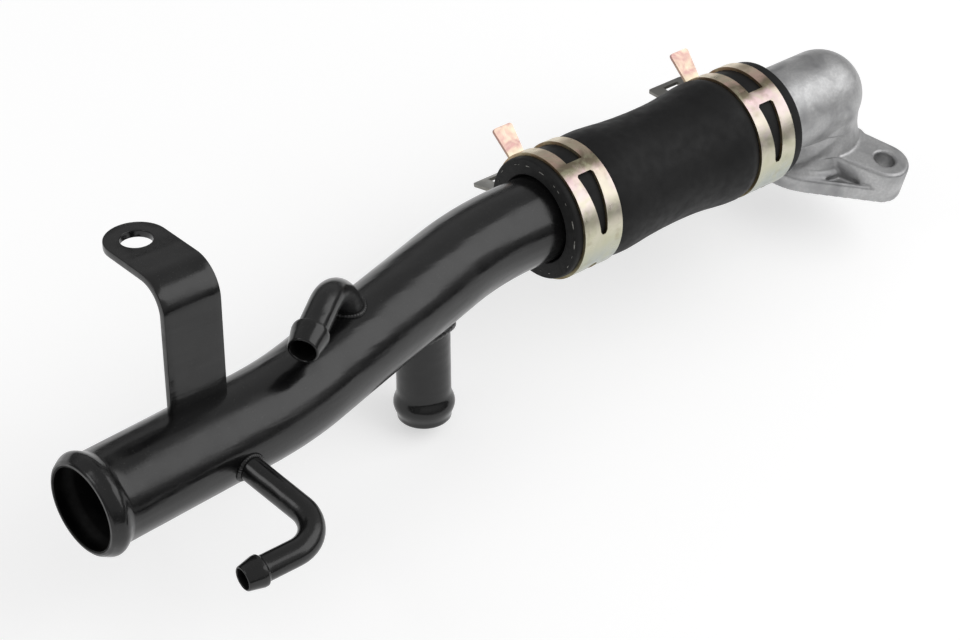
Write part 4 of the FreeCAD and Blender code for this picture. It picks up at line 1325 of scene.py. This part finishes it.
@dataclass(frozen=True)
class CastElbow:
    """Cast elbow with two-bolt flange, softened as a casting is."""

    node: bpy.types.Object
    finish: Material
    voxel: float = 0.5 * MM
    passes: int = 1
    face_passes: int = 6
    smooth: float = 60.0
    bolt_circle: float = 28.0 * MM
    ear_angle: float = -64.0
    machined: float = 4.8 * MM
    face_height: float = 0.5 * MM
    axis_height: float = 26.0 * MM
    arm_radius: float = 14.3 * MM
    neck_inside: float = 1.5 * MM
    neck_outside: float = 4.0 * MM
    crease: tuple[Point, Point] = ((33.0, 5.6 * MM), (98.0, 19.0 * MM))
    crease_depth: float = 1.3 * MM
    crease_fade: float = 5.0
    arm_fade: float = 1.2 * MM
    low_fade: float = 1.5 * MM
    foot_heights: Span = (24.0 * MM, 13.0 * MM, 8.0 * MM, 5.5 * MM)
    foot_turn: float = -39.0
    foot_more: float = 2.0 * MM
    foot_reach: float = 20.0 * MM
    reach_fade: float = 3.0 * MM
    ear_top: float = 11.6 * MM
    ear_side: float = -46.0
    ear_fade: float = 12.0

    def is_cast(self, point: Vector) -> bool:
        """Whether a point lies on a cast surface.

        Args:
            point: a point of the casting.

        Returns:
            False on the flat face and round the bolt holes, which are machined.
        """
        if point.z < self.face_height:
            return False
        for side in (0, 180):
            angle = math.radians(self.ear_angle + side)
            centre = Vector((math.cos(angle), math.sin(angle))) * self.bolt_circle
            if (point.xy - centre).length < self.machined:
                return False
        return True

    def hollow_flanks(self, vertices: Vertices) -> None:
        """Sink the neck behind a crease that runs from the arm down to the flange.

        Args:
            vertices: the cast ones.
        """
        (low_turn, low_height), (high_turn, high_height) = self.crease
        for vertex in vertices:
            x, y, z = vertex.co
            ring = math.hypot(x, y)
            on_neck = self.arm_radius - self.neck_inside < ring < self.arm_radius + self.neck_outside
            if not (on_neck and low_height < z < high_height):
                continue
            turn = math.degrees(math.atan2(abs(y), -x))
            edge = low_turn + (high_turn - low_turn) * (z - low_height) / (high_height - low_height)
            under_arm = math.hypot(y, z - self.axis_height) - self.arm_radius
            depth = clamped((edge - turn) / self.crease_fade) * clamped(under_arm / self.arm_fade)
            sink = self.crease_depth * depth * clamped((z - low_height) / self.low_fade) / ring
            vertex.co.x -= x * sink
            vertex.co.y -= y * sink

    def widen_foot(self, vertices: Vertices) -> None:
        """Widen the foot of the neck on the side away from the hose.

        Args:
            vertices: the cast ones.
        """
        start, full, low, end = self.foot_heights
        for vertex in vertices:
            x, y, z = vertex.co
            ring = math.hypot(x, y)
            if not (end < z < start and self.arm_radius - self.neck_inside < ring):
                continue
            turn = math.degrees(math.atan2(y, x))
            amount = clamped((start - z) / (start - full)) * clamped((z - end) / (low - end))
            amount *= clamped(math.cos(math.radians(turn - self.foot_turn)))
            if z < self.ear_top:
                amount *= clamped((turn - self.ear_side) / self.ear_fade)
            amount *= clamped((self.foot_reach - ring) / self.reach_fade)
            vertex.co.x += x / ring * self.foot_more * amount
            vertex.co.y += y / ring * self.foot_more * amount

    def remeshed(self) -> bpy.types.Mesh:
        """Solid with even faces all over.

        Returns:
            The mesh.
        """
        source = Shell()
        source.copy_node(self.node)
        data = bpy.data.meshes.new("elbow_source")
        source.mesh.to_mesh(data)
        source.mesh.free()
        helper = bpy.data.objects.new("elbow_source", data)
        bpy.context.scene.collection.objects.link(helper)
        remesh = helper.modifiers.new("Remesh", "REMESH")
        remesh.mode = "VOXEL"
        remesh.voxel_size = self.voxel
        bpy.context.view_layer.update()
        fine = bpy.data.meshes.new_from_object(helper.evaluated_get(bpy.context.evaluated_depsgraph_get()))
        bpy.data.objects.remove(helper)
        return fine

    def build(self) -> None:
        """Remesh the solid, smooth its cast surfaces and the outline of its flat face."""
        shell = Shell()
        shell.mesh.from_mesh(self.remeshed())
        cast = [vertex for vertex in shell.mesh.verts if self.is_cast(vertex.co)]
        face = [vertex for vertex in shell.mesh.verts if vertex.co.z < self.face_height]
        self.hollow_flanks(cast)
        self.widen_foot(cast)
        for vertices, high in [(cast, True)] * self.passes + [(face, False)] * self.face_passes:
            bmesh.ops.smooth_vert(
                shell.mesh, verts=vertices, factor=0.5, use_axis_x=True, use_axis_y=True, use_axis_z=high)
        shell.piece(
            "cast_elbow", [self.finish], ("elbow_flange",), recalculate=False, smooth=self.smooth)


# Stage


@dataclass(frozen=True)
class Softbox:
    """Rectangular lamp that faces the part."""

    name: str
    place: Triple
    size: Point
    power: float
    target: Triple = (-0.14, -0.01, 0.02)

    def build(self) -> None:
        """Hang the lamp."""
        data = bpy.data.lights.new(self.name, "AREA")
        data.shape = "RECTANGLE"
        data.size, data.size_y = self.size
        data.energy = self.power
        made = bpy.data.objects.new(self.name, data)
        made.location = self.place
        aim = Vector(self.target) - Vector(self.place)
        made.rotation_euler = aim.to_track_quat("-Z", "Y").to_euler()
        bpy.context.scene.collection.objects.link(made)


@dataclass(frozen=True)
class Studio:
    """Camera, floor and soft lights."""

    eye: Triple = (-0.58092, -0.37802, 0.55803)
    right: Triple = (0.7603, -0.6246, 0.1785)
    up: Triple = (0.3535, 0.6284, 0.6929)
    back: Triple = (-0.5449, -0.4637, 0.6986)
    lens: float = 99.0
    sensor: float = 36.0
    clip: Point = (0.01, 20.0)
    floor_height: float = -19.6 * MM
    floor_size: float = 3.0
    floor_look: tuple[tuple[str, object], ...] = (
        ("Base Color", (0.6, 0.6, 0.6, 1.0)), ("Emission Color", WHITE), ("Emission Strength", 0.54),
        ("Roughness", 0.9), ("Specular IOR Level", 0.1))
    sky: Span = (0.05, 0.35, 0.06, 0.5)
    lamps: tuple[Softbox, ...] = (
        Softbox("right_softbox", (0.62, -0.52, 0.97), (1.4, 1.1), 7.6),
        Softbox("left_softbox", (-1.1, 0.3, 0.8), (0.5, 0.5), 1.6),
    )

    def camera(self) -> None:
        """Camera at the photograph's angle."""
        data = bpy.data.cameras.new("camera")
        data.lens = self.lens
        data.sensor_width = self.sensor
        data.clip_start, data.clip_end = self.clip
        made = bpy.data.objects.new("camera", data)
        turn = Matrix((self.right, self.up, self.back)).transposed().to_4x4()
        made.matrix_world = Matrix.Translation(self.eye) @ turn
        bpy.context.scene.collection.objects.link(made)
        bpy.context.scene.camera = made

    def floor(self) -> None:
        """Plain pale floor."""
        shell = bmesh.new()
        bmesh.ops.create_grid(shell, x_segments=1, y_segments=1, size=self.floor_size)
        data = bpy.data.meshes.new("floor")
        shell.to_mesh(data)
        shell.free()
        made = bpy.data.objects.new("floor", data)
        made.location.z = self.floor_height
        shade = Shading("pale_floor")
        for name, value in self.floor_look:
            shade.set(name, value)
        data.materials.append(shade.material)
        bpy.context.scene.collection.objects.link(made)

    def room(self) -> None:
        """Soft light from above that fades toward a dark horizon."""
        world = bpy.data.worlds.new("soft_room")
        world.use_nodes = True
        tree = world.node_tree
        back = tree.nodes["Background"]
        split = tree.nodes.new("ShaderNodeSeparateXYZ")
        tree.links.new(tree.nodes.new("ShaderNodeTexCoord").outputs["Generated"], split.inputs[0])
        fade = tree.nodes.new("ShaderNodeMapRange")
        for name, number in zip(RANGE_INPUTS, self.sky):
            fade.inputs[name].default_value = number
        tree.links.new(split.outputs["Z"], fade.inputs["Value"])
        tree.links.new(fade.outputs["Result"], back.inputs["Strength"])
        back.inputs["Color"].default_value = WHITE
        bpy.context.scene.world = world

    def build(self) -> None:
        """Set the stage."""
        self.camera()
        self.floor()
        for lamp in self.lamps:
            lamp.build()
        self.room()
        bpy.context.scene.view_settings.view_transform = "Standard"


def main() -> None:
    """Build every piece in order."""
    logging.basicConfig(level=logging.INFO, format="%(name)s %(message)s")
    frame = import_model()
    nodes = frame["nodes"]
    paint = BlackPaint().material()
    zinc = ZincPlate().material()
    sheared = ShearedZinc().material()
    Studio().build()
    pipe = MainPipe(paint, BarePaint().material())
    pipe.build()
    LowerBranch(pipe, paint).build()
    SidePipe(pipe, paint).build()
    UpperPipe(pipe, paint).build()
    Bracket(pipe, paint).build()
    Hose(MouldedRubber().material(), CutRubber().material(), Thread().material()).build()
    BandClamp("zinc_clamp_inner", nodes["hose_clamp_inner"], -114.0 * MM, zinc, sheared).build()
    BandClamp("zinc_clamp_outer", nodes["hose_clamp_outer"], -39.5 * MM, zinc, sheared).build()
    CastElbow(nodes["elbow_flange"], CastAlloy().material()).build()


if __name__ == "__main__":
    main()
